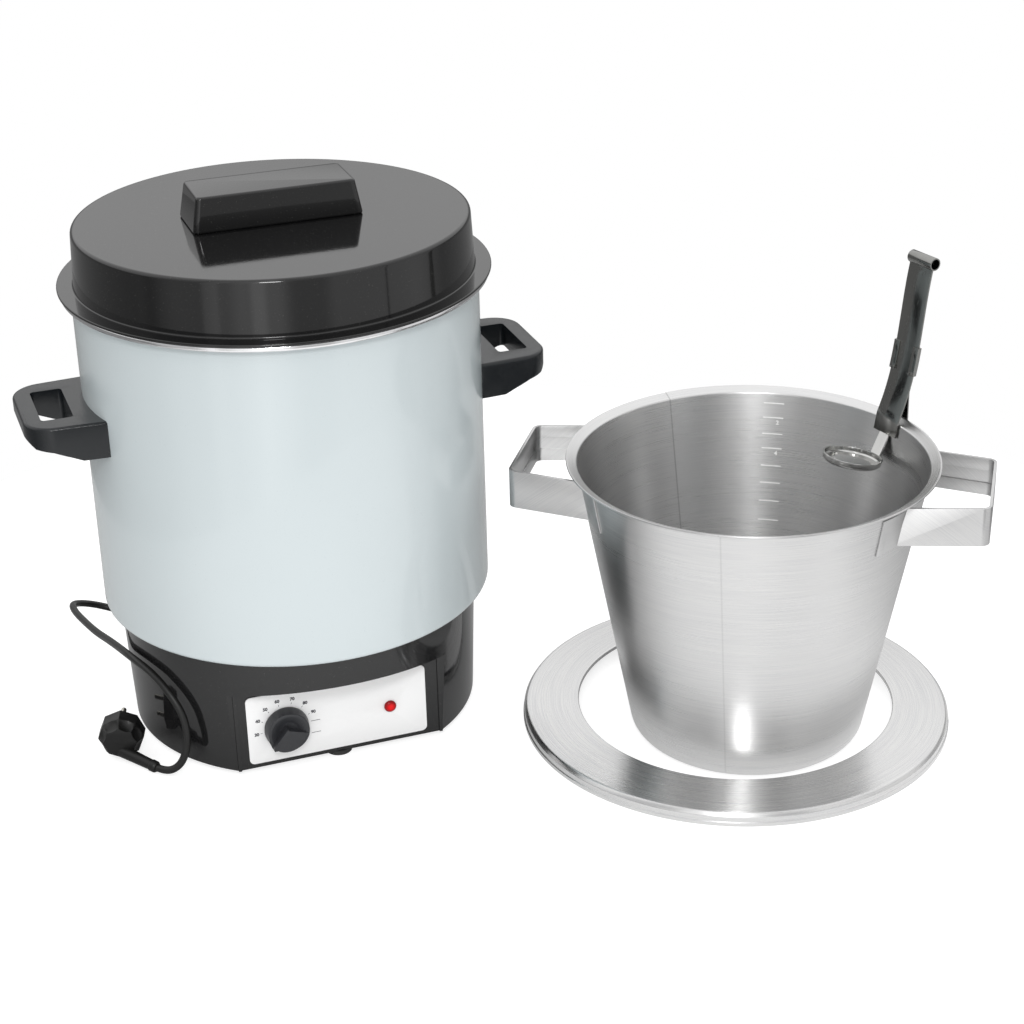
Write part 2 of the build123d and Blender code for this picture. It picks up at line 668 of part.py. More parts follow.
with BuildPart() as thermostat_nut:
    with BuildSketch(fascia_face):
        with Locations((KNOB_X, KNOB_Z)):
            RegularPolygon(BUSH_R + 3, 6)
            Circle(BUSH_R, mode=Mode.SUBTRACT)
    extrude(amount=BUSH_NUT)
save(thermostat_nut.part, "thermostat_nut")

knob_back = fascia_face.offset(KNOB_GAP)
shaft_end = knob_back.offset(KNOB_SKIRT + KNOB_HEIGHT)
with BuildPart() as knob:
    with BuildSketch(knob_back):
        with Locations((KNOB_X, KNOB_Z)):
            Circle(KNOB_R)
    extrude(amount=KNOB_SKIRT)
    fillet(knob.faces().sort_by(Axis.Y)[0].edges(), 1)
    with BuildSketch(knob_back.offset(KNOB_SKIRT)):
        with Locations((KNOB_X, KNOB_Z)):
            Circle(KNOB_BODY_R)
    extrude(amount=KNOB_HEIGHT, taper=9)
    with BuildSketch(knob_back.offset(KNOB_SKIRT)):
        with Locations(Location((KNOB_X, KNOB_Z), KNOB_OFF_ANGLE)):
            with Locations(((KNOB_GRIP_TIP - KNOB_GRIP_BACK) / 2, 0)):
                Rectangle(KNOB_GRIP_TIP + KNOB_GRIP_BACK, KNOB_GRIP_WIDTH)
    extrude(amount=KNOB_HEIGHT + KNOB_GRIP_HEIGHT, taper=5)
    fillet(knob.faces().sort_by(Axis.Y)[0].edges(), 1.2)
    with BuildSketch(knob_back):
        with Locations((KNOB_X, KNOB_Z)):
            Circle(BUSH_R + 4.5)
    extrude(amount=BUSH_NUT + 1.5, mode=Mode.SUBTRACT)
    with BuildSketch(knob_back):
        with Locations((KNOB_X, KNOB_Z)):
            Circle(SHAFT_R + SHAFT_CLEAR)
    extrude(amount=KNOB_SKIRT + KNOB_HEIGHT, mode=Mode.SUBTRACT)
save(knob.part, "knob")

knob_depth = KNOB_SKIRT + KNOB_HEIGHT
shaft_length = knob_depth + KNOB_GAP + FASCIA_THICK + BASE_WALL + SHAFT_DEPTH - SHAFT_END_GAP
with BuildPart() as thermostat_shaft:
    with BuildSketch(shaft_end):
        with Locations((KNOB_X, KNOB_Z)):
            Circle(SHAFT_R)
    extrude(amount=-shaft_length)
save(thermostat_shaft.part, "thermostat_shaft")

with BuildPart() as lamp_lens:
    with BuildSketch(fascia_face):
        with Locations((LAMP_X, LAMP_Z)):
            Circle(LAMP_R)
    extrude(amount=LAMP_DOME)
    fillet(lamp_lens.faces().sort_by(Axis.Y)[0].edges(), 0.75 * LAMP_DOME)
save(lamp_lens.part, "lamp_lens")

with BuildPart() as lamp_body:
    with BuildSketch(fascia_face):
        with Locations((LAMP_X, LAMP_Z)):
            Circle(LAMP_BODY_R)
    extrude(amount=-LAMP_BODY_LENGTH)
    with BuildSketch(panel_inner):
        with Locations((LAMP_X, LAMP_Z)):
            Circle(LAMP_BODY_R + 2.5)
            Circle(LAMP_BODY_R, mode=Mode.SUBTRACT)
    extrude(amount=-2)
save(lamp_body.part, "lamp_body")

# kettle: heater under the tank, its clamp and shield
spreader_z = tank_floor_z - SPREADER_THICK
element_z = spreader_z - ELEMENT_TUBE_R
clamp_z = element_z - ELEMENT_TUBE_R
with BuildPart() as heat_spreader:
    with BuildSketch(KETTLE.offset(spreader_z)):
        Circle(SPREADER_R)
        Circle(STUD_R + HOLE_CLEAR, mode=Mode.SUBTRACT)
    extrude(amount=SPREADER_THICK)
save(heat_spreader.part, "heat_spreader")

gap_half = (360 - ELEMENT_SWEEP) / 2
tail_angles = (ELEMENT_GAP_AT - gap_half, ELEMENT_GAP_AT + gap_half)
tail_points = around(ELEMENT_R, tail_angles)
with BuildPart() as heating_element:
    with BuildSketch(section_at(KETTLE_X, KETTLE_Y, tail_angles[1])):
        with Locations((ELEMENT_R, element_z)):
            Circle(ELEMENT_TUBE_R)
    revolve(axis=KETTLE_AXIS, revolution_arc=ELEMENT_SWEEP)
    with BuildSketch(KETTLE.offset(element_z - ELEMENT_TAIL)):
        with Locations(*tail_points):
            Circle(ELEMENT_TUBE_R)
    extrude(amount=ELEMENT_TAIL)
    with BuildSketch(KETTLE.offset(element_z - ELEMENT_TAIL)):
        with Locations(*tail_points):
            Circle(1.5)
    extrude(amount=-ELEMENT_PIN)
save(heating_element.part, "heating_element")

with BuildPart() as clamp_bar:
    with BuildSketch(KETTLE.offset(clamp_z)):
        SlotOverall(CLAMP_LENGTH, CLAMP_WIDTH)
        Circle(STUD_R + HOLE_CLEAR, mode=Mode.SUBTRACT)
    extrude(amount=-CLAMP_THICK)
save(clamp_bar.part, "clamp_bar")

stud_bottom_z = dome_top_z - COVER_THICK - NUT_HEIGHT - 1
with BuildPart() as tie_stud:
    with BuildSketch(KETTLE.offset(stud_bottom_z)):
        Circle(STUD_R)
    extrude(amount=tank_floor_z - stud_bottom_z)
save(tie_stud.part, "tie_stud")

with BuildPart() as stud_nuts:
    for top in (clamp_z - CLAMP_THICK, dome_top_z - COVER_THICK):
        with BuildSketch(KETTLE.offset(top)):
            RegularPolygon(NUT_R, 6)
            Circle(STUD_R + NUT_CLEAR, mode=Mode.SUBTRACT)
        extrude(amount=-NUT_HEIGHT)
save(stud_nuts.part, "stud_nuts")

shield_floor_z = deck_z - SHIELD_DROP
bulb_end = (BULB_X, -BULB_LENGTH / 2)
with BuildPart() as heat_shield:
    with BuildSketch(KETTLE_SECTION):
        outline(
            (STUD_R + 3, shield_floor_z),
            (SHIELD_R, shield_floor_z),
            (SHIELD_R, deck_z - SHIELD_THICK),
            (SHIELD_R + SHIELD_FLANGE, deck_z - SHIELD_THICK),
            (SHIELD_R + SHIELD_FLANGE, deck_z),
            (SHIELD_R - SHIELD_THICK, deck_z),
            (SHIELD_R - SHIELD_THICK, shield_floor_z + SHIELD_THICK),
            (STUD_R + 3, shield_floor_z + SHIELD_THICK),
        )
    revolve(axis=KETTLE_AXIS)
    with BuildSketch(KETTLE.offset(shield_floor_z)):
        with Locations(*tail_points):
            Circle(ELEMENT_TUBE_R + 2)
        with Locations((BULB_X, CAPILLARY_DROP_Y)):
            Circle(4)
        with Locations((CUTOUT_X, CUTOUT_Y)):
            SlotOverall(2 * TAB_SPACING, TAB_SPACING)
    extrude(amount=SHIELD_THICK, mode=Mode.SUBTRACT)
save(heat_shield.part, "heat_shield")

with BuildPart() as thermal_cutout:
    with BuildSketch(KETTLE.offset(spreader_z)):
        with Locations((CUTOUT_X, CUTOUT_Y)):
            Circle(CUTOUT_R)
    extrude(amount=-CUTOUT_HEIGHT)
    with BuildSketch(KETTLE.offset(spreader_z - CUTOUT_HEIGHT)):
        with Locations((CUTOUT_X, CUTOUT_Y)):
            with GridLocations(TAB_SPACING, 1, 2, 1):
                Rectangle(TAB_THICK, TAB_WIDTH)
    extrude(amount=-TAB_LENGTH)
save(thermal_cutout.part, "thermal_cutout")

bulb_z = spreader_z - BULB_R
thermostat_back_y = -PANEL_Y + BASE_WALL + THERMOSTAT[1]
capillary_route = [
    from_kettle(bulb_end[0], bulb_end[1], bulb_z),
    from_kettle(bulb_end[0], CAPILLARY_DROP_Y, bulb_z),
    from_kettle(bulb_end[0], CAPILLARY_DROP_Y, KNOB_Z + 34),
    from_kettle(KNOB_X, thermostat_back_y - THERMOSTAT[1] / 2, KNOB_Z + 34),
    from_kettle(KNOB_X, thermostat_back_y - THERMOSTAT[1] / 2, KNOB_Z + THERMOSTAT[2] / 2),
]
with BuildPart() as thermostat_bulb:
    with BuildSketch(Plane(capillary_route[0], x_dir=(1, 0, 0), z_dir=(0, 1, 0))):
        Circle(BULB_R)
    extrude(amount=BULB_LENGTH)
    with BuildLine():
        FilletPolyline(*capillary_route, radius=8)
    with BuildSketch(Plane(capillary_route[0], z_dir=(0, -1, 0))):
        Circle(CAPILLARY_R)
    sweep()
save(thermostat_bulb.part, "thermostat_bulb")

with BuildPart() as terminal_block:
    with BuildSketch(KETTLE.offset(cover_top_z)):
        with Locations((TERMINAL_X, TERMINAL_Y)):
            Rectangle(TERMINAL[0], TERMINAL[1])
    extrude(amount=TERMINAL[2])
    with BuildSketch(KETTLE.offset(cover_top_z + TERMINAL[2])):
        with Locations((TERMINAL_X, TERMINAL_Y)):
            with GridLocations(12, 12, 3, 2):
                Circle(2.4)
    extrude(amount=-6, mode=Mode.SUBTRACT)
save(terminal_block.part, "terminal_block")

# set: conical melting vessel
cone_slope = (VESSEL_TOP_R - VESSEL_FOOT_R) / VESSEL_TOP_Z


def cone_r(z):
    return VESSEL_FOOT_R + cone_slope * z


with BuildPart() as cone_outside:
    with BuildSketch(VESSEL_SECTION):
        outline((0, 0), (VESSEL_FOOT_R, 0), (VESSEL_TOP_R, VESSEL_TOP_Z), (0, VESSEL_TOP_Z))
    revolve(axis=VESSEL_AXIS)
    fillet(cone_outside.faces().sort_by(Axis.Z)[0].edges(), VESSEL_CORNER)

with BuildPart() as vessel_shell:
    add(cone_outside.part)
    with BuildSketch(VESSEL_SECTION):
        outline(
            (VESSEL_TOP_R - 1, VESSEL_TOP_Z),
            (VESSEL_RIM_R - 1, VESSEL_TOP_Z),
            (VESSEL_RIM_R, VESSEL_TOP_Z - 1),
            (VESSEL_RIM_R, VESSEL_TOP_Z - VESSEL_HEM),
            (VESSEL_RIM_R - VESSEL_WALL, VESSEL_TOP_Z - VESSEL_HEM),
            (VESSEL_RIM_R - VESSEL_WALL, VESSEL_TOP_Z - VESSEL_WALL),
            (VESSEL_TOP_R - 1, VESSEL_TOP_Z - VESSEL_WALL),
        )
    revolve(axis=VESSEL_AXIS)
    with BuildSketch(VESSEL_SECTION):
        with BuildLine():
            floor_r = VESSEL_FOOT_R + cone_slope * VESSEL_WALL - VESSEL_WALL
            wall = FilletPolyline(
                (0, VESSEL_WALL),
                (floor_r, VESSEL_WALL),
                (VESSEL_TOP_R - VESSEL_WALL, VESSEL_TOP_Z),
                radius=VESSEL_CORNER - VESSEL_WALL,
            )
            above = VESSEL_TOP_Z + 1
            Polyline(wall @ 1, (VESSEL_TOP_R - VESSEL_WALL, above), (0, above), wall @ 0)
        make_face()
    revolve(axis=VESSEL_AXIS, mode=Mode.SUBTRACT)
save(vessel_shell.part, "vessel_shell")

STRAP_BOTTOM = VESSEL.offset(STRAP_TOP_Z - STRAP_WIDTH)
lug_sweep = LUG_ANGLES[1] - LUG_ANGLES[0]
lug_bottom = STRAP_TOP_Z - STRAP_WIDTH
for side, hand in (("left", -1), ("right", 1)):
    with BuildPart() as strap_handle:
        with BuildSketch(STRAP_BOTTOM):
            with BuildLine():
                FilletPolyline(
                    (hand * STRAP_ROOT, -STRAP_HALF_ROOT),
                    (hand * (STRAP_REACH - STRAP_THICK / 2), -STRAP_HALF_END),
                    (hand * (STRAP_REACH - STRAP_THICK / 2), STRAP_HALF_END),
                    (hand * STRAP_ROOT, STRAP_HALF_ROOT),
                    radius=STRAP_CORNER,
                )
            trace(line_width=STRAP_THICK)
        extrude(amount=STRAP_WIDTH)
        inset = (STRAP_THICK + STRAP_HEM) / 2
        for hem_z in (0, STRAP_WIDTH - STRAP_HEM_WIDTH):
            with BuildSketch(STRAP_BOTTOM.offset(hem_z)):
                with BuildLine():
                    FilletPolyline(
                        (hand * STRAP_ROOT, -STRAP_HALF_ROOT + inset),
                        (hand * (STRAP_REACH - STRAP_THICK / 2 - inset), -STRAP_HALF_END + inset),
                        (hand * (STRAP_REACH - STRAP_THICK / 2 - inset), STRAP_HALF_END - inset),
                        (hand * STRAP_ROOT, STRAP_HALF_ROOT - inset),
                        radius=STRAP_CORNER - inset,
                    )
                trace(line_width=STRAP_HEM)
            extrude(amount=STRAP_HEM_WIDTH)
        for lug_from in (LUG_ANGLES[0], -LUG_ANGLES[1]):
            start = lug_from if hand > 0 else 180 + lug_from
            with BuildSketch(section_at(VESSEL_X, VESSEL_Y, VESSEL_TURN + start)):
                outline(
                    (cone_r(lug_bottom), lug_bottom),
                    (cone_r(lug_bottom) + LUG_THICK, lug_bottom),
                    (cone_r(STRAP_TOP_Z) + LUG_THICK, STRAP_TOP_Z),
                    (cone_r(STRAP_TOP_Z), STRAP_TOP_Z),
                )
            revolve(axis=VESSEL_AXIS, revolution_arc=lug_sweep)
        add(cone_outside.part, mode=Mode.SUBTRACT)
    save(strap_handle.part, f"vessel_handle_{side}")

# set: adapter ring
ring_top_z = RING_HEIGHT + RING_CROWN
with BuildPart() as adapter_ring:
    with BuildSketch(RING_SECTION):
        outline(
            (RING_HOLE_R, ring_top_z),
            (RING_R - RING_EDGE, RING_HEIGHT),
            (RING_R - 0.3 * RING_EDGE, RING_HEIGHT - 0.3 * RING_EDGE),
            (RING_R, RING_HEIGHT - RING_EDGE),
            (RING_R, RING_HEM_HEIGHT),
            (RING_HEM_R, RING_HEM_HEIGHT - 0.5),
            (RING_HEM_R, 0),
            (RING_R - RING_THICK, 0),
            (RING_R - RING_THICK, RING_HEIGHT - RING_EDGE - 0.3),
            (RING_R - RING_EDGE - 0.4, RING_HEIGHT - RING_THICK),
            (RING_HOLE_R + RING_THICK, ring_top_z - RING_THICK - 0.05),
            (RING_HOLE_R + RING_THICK, ring_top_z - RING_HOLE_HEM),
            (RING_HOLE_R, ring_top_z - RING_HOLE_HEM),
        )
    revolve(axis=RING_AXIS)
save(adapter_ring.part, "adapter_ring")

# set: strip ladle, clipped over the vessel's rim
def strip_r(z):
    """Outer face of the strip: along the inside of the cone, bowed outwards above the rim."""
    u = max(z - STRIP_BEND_Z, 0) / (STRIP_TOP_Z - STRIP_BEND_Z)
    return cone_r(z) - VESSEL_WALL - STRIP_CLEAR + STRIP_BOW * u * (1 - u) ** 2 + STRIP_LEAN * u


def strip_side(out, low, high):
    """Points that follow the strip at a distance from its outer face."""
    steps = math.ceil((high - low) / STRIP_STEP)
    heights = [low + (high - low) * i / steps for i in range(steps + 1)]
    return [(strip_r(z) + out, z) for z in heights]


def strip_layer(inside, outside, low, high):
    outline(*strip_side(inside, low, high), *reversed(strip_side(outside, low, high)))


eye_at = (strip_r(STRIP_TOP_Z) + EYE_OUT, STRIP_TOP_Z + EYE_RISE)
with BuildPart() as ladle_strip:
    with BuildSketch(LADLE_SECTION):
        strip_layer(-STRIP_THICK, 0, STRIP_BEND_Z, STRIP_TOP_Z)
        strip_layer(-STRIP_THICK, 0, STRIP_BOTTOM_Z, STRIP_BEND_Z)
    extrude(amount=STRIP_WIDTH / 2, both=True)
    with BuildSketch(LADLE_SECTION):
        with Locations(eye_at):
            Circle(EYE_R)
    extrude(amount=EYE_WIDTH / 2, both=True)
    with BuildSketch(LADLE_SECTION):
        with Locations(eye_at):
            Circle(EYE_R - EYE_WALL)
    extrude(amount=EYE_WIDTH / 2, both=True, mode=Mode.SUBTRACT)
save(ladle_strip.part, "ladle_strip")

leaf_r = VESSEL_RIM_R + CLIP_CLEAR
fold_in = STRIP_WIDTH / 2 + CLIP_SIDE_CLEAR
fold_out = fold_in + CLIP_THICK
with BuildPart() as ladle_clip:
    with BuildSketch(LADLE_SECTION):
        outline(
            *strip_side(0, CLIP_LEAVES_Z, CLIP_TO_Z),
            *reversed(strip_side(CLIP_THICK, CLIP_LEAVES_Z, CLIP_TO_Z)),
            (leaf_r + CLIP_THICK, CLIP_BOTTOM_Z + 7),
            (leaf_r + 3 + CLIP_THICK, CLIP_BOTTOM_Z),
            (leaf_r + 3, CLIP_BOTTOM_Z),
            (leaf_r, CLIP_BOTTOM_Z + 6),
        )
    extrude(amount=CLIP_WIDTH / 2, both=True)
    with BuildSketch(LADLE_SECTION):
        strip_layer(0, CLIP_THICK, CLIP_FROM_Z, CLIP_TO_Z)
    extrude(amount=fold_out, both=True)
    for edge in (-1, 1):
        with BuildSketch(LADLE_SECTION.offset(edge * fold_in)):
            strip_layer(-STRIP_THICK - CLIP_THICK, CLIP_THICK, CLIP_FROM_Z, CLIP_TO_Z)
        extrude(amount=edge * CLIP_THICK)
        with BuildSketch(LADLE_SECTION.offset(edge * fold_out)):
            strip_layer(-STRIP_THICK - CLIP_THICK, -STRIP_THICK, CLIP_FROM_Z, CLIP_TO_Z)
        extrude(amount=-edge * CLIP_TAB)
save(ladle_clip.part, "ladle_clip")

dish_at = LADLE_SECTION.from_local_coords((DISH_FROM_AXIS, DISH_TOP_Z, 0))
dish_out = (LADLE_SECTION.x_dir - Vector(0, 0, cone_slope)).normalized()
dish_up = (LADLE_SECTION.x_dir * cone_slope + Vector(0, 0, 1)).normalized()
DISH_SECTION = Plane(origin=dish_at, x_dir=dish_out, z_dir=LADLE_SECTION.z_dir)
with BuildPart() as ladle_dish:
    with BuildSketch(DISH_SECTION):
        outline(
            (0, -DISH_HEIGHT),
            (DISH_R - 2.5, -DISH_HEIGHT),
            (DISH_R - 0.5, -DISH_HEIGHT + 2),
            (DISH_R, 0),
            (DISH_R - 1.6, 0),
            (DISH_R - DISH_WALL - 0.6, -DISH_HEIGHT + 2.5),
            (DISH_R - 3, -DISH_HEIGHT + DISH_WALL),
            (0, -DISH_HEIGHT + DISH_WALL),
        )
    revolve(axis=Axis(dish_at, dish_up))
    strip_foot = DISH_SECTION.to_local_coords(
        LADLE_SECTION.from_local_coords((strip_r(STRIP_BOTTOM_Z), STRIP_BOTTOM_Z, 0))
    )
    with BuildSketch(DISH_SECTION):
        outline(
            (DISH_R - 1, -DISH_HEIGHT + 2),
            (DISH_R - 1, -1),
            (strip_foot.X - STRIP_THICK, strip_foot.Y),
            (strip_foot.X, strip_foot.Y),
            (DISH_R + 1.4, -DISH_HEIGHT + 2),
        )
    extrude(amount=NECK_WIDTH / 2, both=True)
save(ladle_dish.part, "ladle_dish")

# kettle: wiring inside the base
terminal_front = TERMINAL_Y - TERMINAL[1] / 2
tab_y = thermostat_back_y + TAB_LENGTH
lamp_back_y = -PANEL_Y - FASCIA_THICK + LAMP_BODY_LENGTH
pin_z = element_z - ELEMENT_TAIL - ELEMENT_PIN
cutout_tab_z = spreader_z - CUTOUT_HEIGHT - TAB_LENGTH
wire_routes = [
    [
        (TERMINAL_X - 16, terminal_front, TERMINAL_MID_Z),
        (TERMINAL_X - 16, 40, TERMINAL_MID_Z),
        (10, -20, 26),
        (KNOB_X + 6, -60, KNOB_Z - 8),
        (KNOB_X + 6, tab_y, KNOB_Z - 8),
    ],
    [
        (KNOB_X - 6, tab_y, KNOB_Z + 8),
        (KNOB_X - 6, tab_y + 20, KNOB_Z + 8),
        (tail_points[0][0], tail_points[0][1], KNOB_Z + 20),
        (tail_points[0][0], tail_points[0][1], pin_z),
    ],
    [
        (tail_points[1][0], tail_points[1][1], pin_z),
        (tail_points[1][0], tail_points[1][1], pin_z - 16),
        (20, -40, pin_z - 20),
        (CUTOUT_X - TAB_SPACING / 2, CUTOUT_Y, pin_z - 20),
        (CUTOUT_X - TAB_SPACING / 2, CUTOUT_Y, cutout_tab_z),
    ],
    [
        (CUTOUT_X + TAB_SPACING / 2, CUTOUT_Y, cutout_tab_z),
        (CUTOUT_X + TAB_SPACING / 2, CUTOUT_Y, 60),
        (TERMINAL_X - 6, 45, TERMINAL_MID_Z),
        (TERMINAL_X - 6, terminal_front, TERMINAL_MID_Z),
    ],
    [
        (LAMP_X - 2, lamp_back_y, LAMP_Z),
        (LAMP_X - 2, lamp_back_y + 20, LAMP_Z),
        (TERMINAL_X, 20, 24),
        (TERMINAL_X + 2, 50, TERMINAL_MID_Z),
        (TERMINAL_X + 2, terminal_front, TERMINAL_MID_Z),
    ],
    [
        (LAMP_X + 2, lamp_back_y, LAMP_Z),
        (LAMP_X + 2, lamp_back_y + 20, LAMP_Z),
        (TERMINAL_X + 10, 20, 24),
        (TERMINAL_X + 10, 50, TERMINAL_MID_Z),
        (TERMINAL_X + 10, terminal_front, TERMINAL_MID_Z),
    ],
]
with BuildPart() as wiring:
    for route in wire_routes:
        places = [from_kettle(*place) for place in route]
        with BuildLine():
            wire_path = FilletPolyline(*places, radius=7)
        with BuildSketch(Plane(wire_path @ 0, z_dir=wire_path % 0)):
            Circle(WIRE_R)
        sweep(path=wire_path)
save(wiring.part, "wiring")

# mains lead: gland, strain relief, stretches, coil and plug
with BuildPart() as cord_gland:
    with BuildSketch(GLAND):
        Circle(GLAND_NUT_R)
    extrude(amount=GLAND_NUT)
    with BuildSketch(GLAND):
        Circle(GLAND_NECK_R)
    extrude(amount=-GLAND_BOSS - GLAND_INSIDE)
    with BuildSketch(GLAND.offset(GLAND_NUT)):
        Circle(RELIEF_ROOT_R)
    with BuildSketch(GLAND.offset(GLAND_NUT + RELIEF_LENGTH)):
        Circle(RELIEF_TIP_R)
    loft()
save(cord_gland.part, "cord_gland")

gland_tip_y = GLAND_FACE_Y + GLAND_NUT + RELIEF_LENGTH


def coil_point(quarter):
    """Place and direction on the coil: in on the floor, up a layer, out again on top."""
    turns = quarter / 4
    angle = math.radians(-90 + 360 * turns)
    r = COIL_INNER_R + COIL_PITCH * abs(quarter - COIL_TURN_BACK) / 4
    climb = min(max((quarter - COIL_TURN_BACK + 1) / 2, 0), 1)
    outwards = (quarter > COIL_TURN_BACK) - (quarter < COIL_TURN_BACK)
    growth = outwards * COIL_PITCH / (2 * math.pi)
    rise = COIL_PITCH / math.pi if quarter == COIL_TURN_BACK else 0
    out = Vector(math.cos(angle), math.sin(angle), 0)
    along = Vector(-math.sin(angle), math.cos(angle), 0)
    place = from_kettle(*COIL_CENTRE, CORD_R + COIL_PITCH * climb) + r * out
    return place, (growth * out + r * along + Vector(0, 0, rise)).normalized()


def biarc_joint(start, heading, end, last_heading):
    """Where two arcs that share a direction meet between two places."""
    chord, both = end - start, heading + last_heading
    a = 2 * (1 - heading.dot(last_heading))
    b = chord.dot(both)
    reach = (-b + math.sqrt(b * b + a * chord.dot(chord))) / a
    return (start + end + reach * (heading - last_heading)) / 2


coil_stops = [coil_point(q) for q in range(COIL_QUARTERS + 1)]
coil_start, coil_end = coil_stops[0], coil_stops[-1]
with BuildPart() as cord_coil:
    with BuildLine() as coil_line:
        Line(coil_start[0] - 2 * CORD_R * coil_start[1], coil_start[0])
        for (here, heading), (there, next_heading) in zip(coil_stops, coil_stops[1:]):
            joint = biarc_joint(here, heading, there, next_heading)
            first_arc = TangentArc(here, joint, tangent=heading)
            TangentArc(joint, there, tangent=first_arc % 1)
        Line(coil_end[0], coil_end[0] + 2 * CORD_R * coil_end[1])
    with BuildSketch(Plane(coil_line.line @ 0, z_dir=coil_line.line % 0)):
        Circle(CORD_R)
    sweep()
save(cord_coil.part, "cord_coil")

coil_in = coil_start[0] - 2 * CORD_R * coil_start[1]
coil_out = coil_end[0] + 2 * CORD_R * coil_end[1]
RELIEF_TIP = from_kettle(*PLUG_RELIEF_TIP)
lead_route = [
    coil_in,
    coil_in - 40 * coil_start[1],
    from_kettle(-18, 204.5, CORD_R),
    from_kettle(-60, 204.5, CORD_R),
    from_kettle(-94, 203, CORD_R),
    from_kettle(-120, 210, CORD_R),
    from_kettle(-139, 220.5, 4.5),
    from_kettle(-151.5, 227, 8),
    from_kettle(-165, 229.5, 13),
    from_kettle(-178, 226.5, 18.5),
    from_kettle(-187, 217, 24),
    from_kettle(-190.5, 202, 29),
    from_kettle(-190, 178, 33),
    from_kettle(-186.5, 140, 41),
    from_kettle(-182, 96, 51),
    from_kettle(-177, 52, 64),
    from_kettle(-173, 8, 77),
    from_kettle(-169, -36, 89),
    from_kettle(-157, -72, 89),
    from_kettle(-146, -93, 76),
    from_kettle(-138, -105, 59),
    from_kettle(-136.5, -109, 39),
    from_kettle(-140, -110, 21),
    from_kettle(-147, -110, 9.5),
    from_kettle(-157.8, -105.8, 4),
    RELIEF_TIP,
]
gland_route = [
    coil_out,
    coil_out + 18 * coil_end[1],
    from_kettle(GLAND_X, 208, GLAND_Z),
    from_kettle(GLAND_X, gland_tip_y, GLAND_Z),
]
tail_route = [
    from_kettle(GLAND_X, GLAND_FACE_Y - GLAND_BOSS - GLAND_INSIDE, GLAND_Z),
    from_kettle(GLAND_X, 132, GLAND_Z),
    from_kettle(TERMINAL_X - 14, 114, TERMINAL_MID_Z),
    from_kettle(TERMINAL_X - 14, TERMINAL_Y + TERMINAL[1] / 2, TERMINAL_MID_Z),
]
stretches = {"cord_lead": lead_route, "cord_at_gland": gland_route, "cord_tail": tail_route}
for name, route in stretches.items():
    radii = run_radii(route)
    with BuildPart() as stretch:
        with BuildLine():
            centre_line = FilletPolyline(*route, radius=radii)
        with BuildSketch(Plane(centre_line @ 0, z_dir=centre_line % 0)):
            Circle(CORD_R)
        sweep()
    save(stretch.part, name)
    volume_share = stretch.part.volume / (math.pi * CORD_R**2 * centre_line.length)
    print(name, "radii", [round(r) for r in radii], "length", round(centre_line.length))
    print(name, "volume over section times length", round(volume_share, 4))


coil_wire = coil_line.wires()[0]
samples = [coil_wire @ (i / 600) for i in range(601)]
apart = int(600 * 6 * CORD_R / coil_wire.length)
least = min((p - q).length for i, p in enumerate(samples) for q in samples[i + apart :])
print("cord_coil length", round(coil_wire.length), "least gap to itself", round(least - 2 * CORD_R, 2))

PINS = Plane(from_kettle(*PLUG_AT), x_dir=(0, 0, 1), z_dir=PLUG_PIN_DIRECTION)
relief_root = PINS.from_local_coords((-11, 0, -7))
RELIEF_AXIS = (RELIEF_TIP - relief_root).normalized()
with BuildPart() as plug_body:
    with BuildSketch(PINS.offset(PLUG_DEPTH / 2)):
        RegularPolygon(PLUG_R, 8, major_radius=True)
    extrude(amount=-PLUG_DEPTH * 0.6)
    with BuildSketch(PINS.offset(-PLUG_DEPTH * 0.1)):
        RegularPolygon(PLUG_R, 8, major_radius=True)
    with BuildSketch(PINS.offset(-PLUG_DEPTH / 2)):
        RegularPolygon(PLUG_R * 0.74, 8, major_radius=True)
    loft()
    with BuildSketch(Plane(relief_root, z_dir=RELIEF_AXIS)):
        Circle(RELIEF_ROOT_R)
    with BuildSketch(Plane(RELIEF_TIP, z_dir=RELIEF_AXIS)):
        Circle(RELIEF_TIP_R)
    loft()
save(plug_body.part, "plug_body")

with BuildPart() as plug_pins:
    with BuildSketch(PINS.offset(PLUG_DEPTH / 2)):
        with GridLocations(PIN_SPACING, 1, 2, 1):
            Circle(PIN_R)
    extrude(amount=PIN_LENGTH)
save(plug_pins.part, "plug_pins")
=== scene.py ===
"""Looks of the wax melter set: enamelled kettle with lid, dial and lead, conical steel vessel,
adapter ring and strip ladle. Metres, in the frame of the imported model."""

import math

import bpy
from mathutils import Matrix, Vector


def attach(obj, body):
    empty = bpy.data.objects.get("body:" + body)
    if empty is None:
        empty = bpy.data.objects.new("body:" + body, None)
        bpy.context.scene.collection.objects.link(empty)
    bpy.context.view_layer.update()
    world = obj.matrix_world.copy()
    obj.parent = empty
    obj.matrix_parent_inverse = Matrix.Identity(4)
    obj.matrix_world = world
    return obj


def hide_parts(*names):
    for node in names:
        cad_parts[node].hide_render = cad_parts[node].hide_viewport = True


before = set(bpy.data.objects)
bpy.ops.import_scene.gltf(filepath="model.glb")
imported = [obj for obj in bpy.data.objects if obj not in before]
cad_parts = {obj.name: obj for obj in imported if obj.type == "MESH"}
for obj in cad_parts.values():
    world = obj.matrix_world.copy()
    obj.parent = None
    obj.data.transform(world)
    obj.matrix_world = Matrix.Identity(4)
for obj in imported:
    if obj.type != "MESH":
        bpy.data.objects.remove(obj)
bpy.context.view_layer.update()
MM = 0.001

# where the axes of the round pieces stand, in metres
KETTLE = Vector((-0.166, 0.0975, 0))
VESSEL = KETTLE + Vector((0.3686, -0.2125, 0))
RING = KETTLE + Vector((0.3671, -0.190, 0))

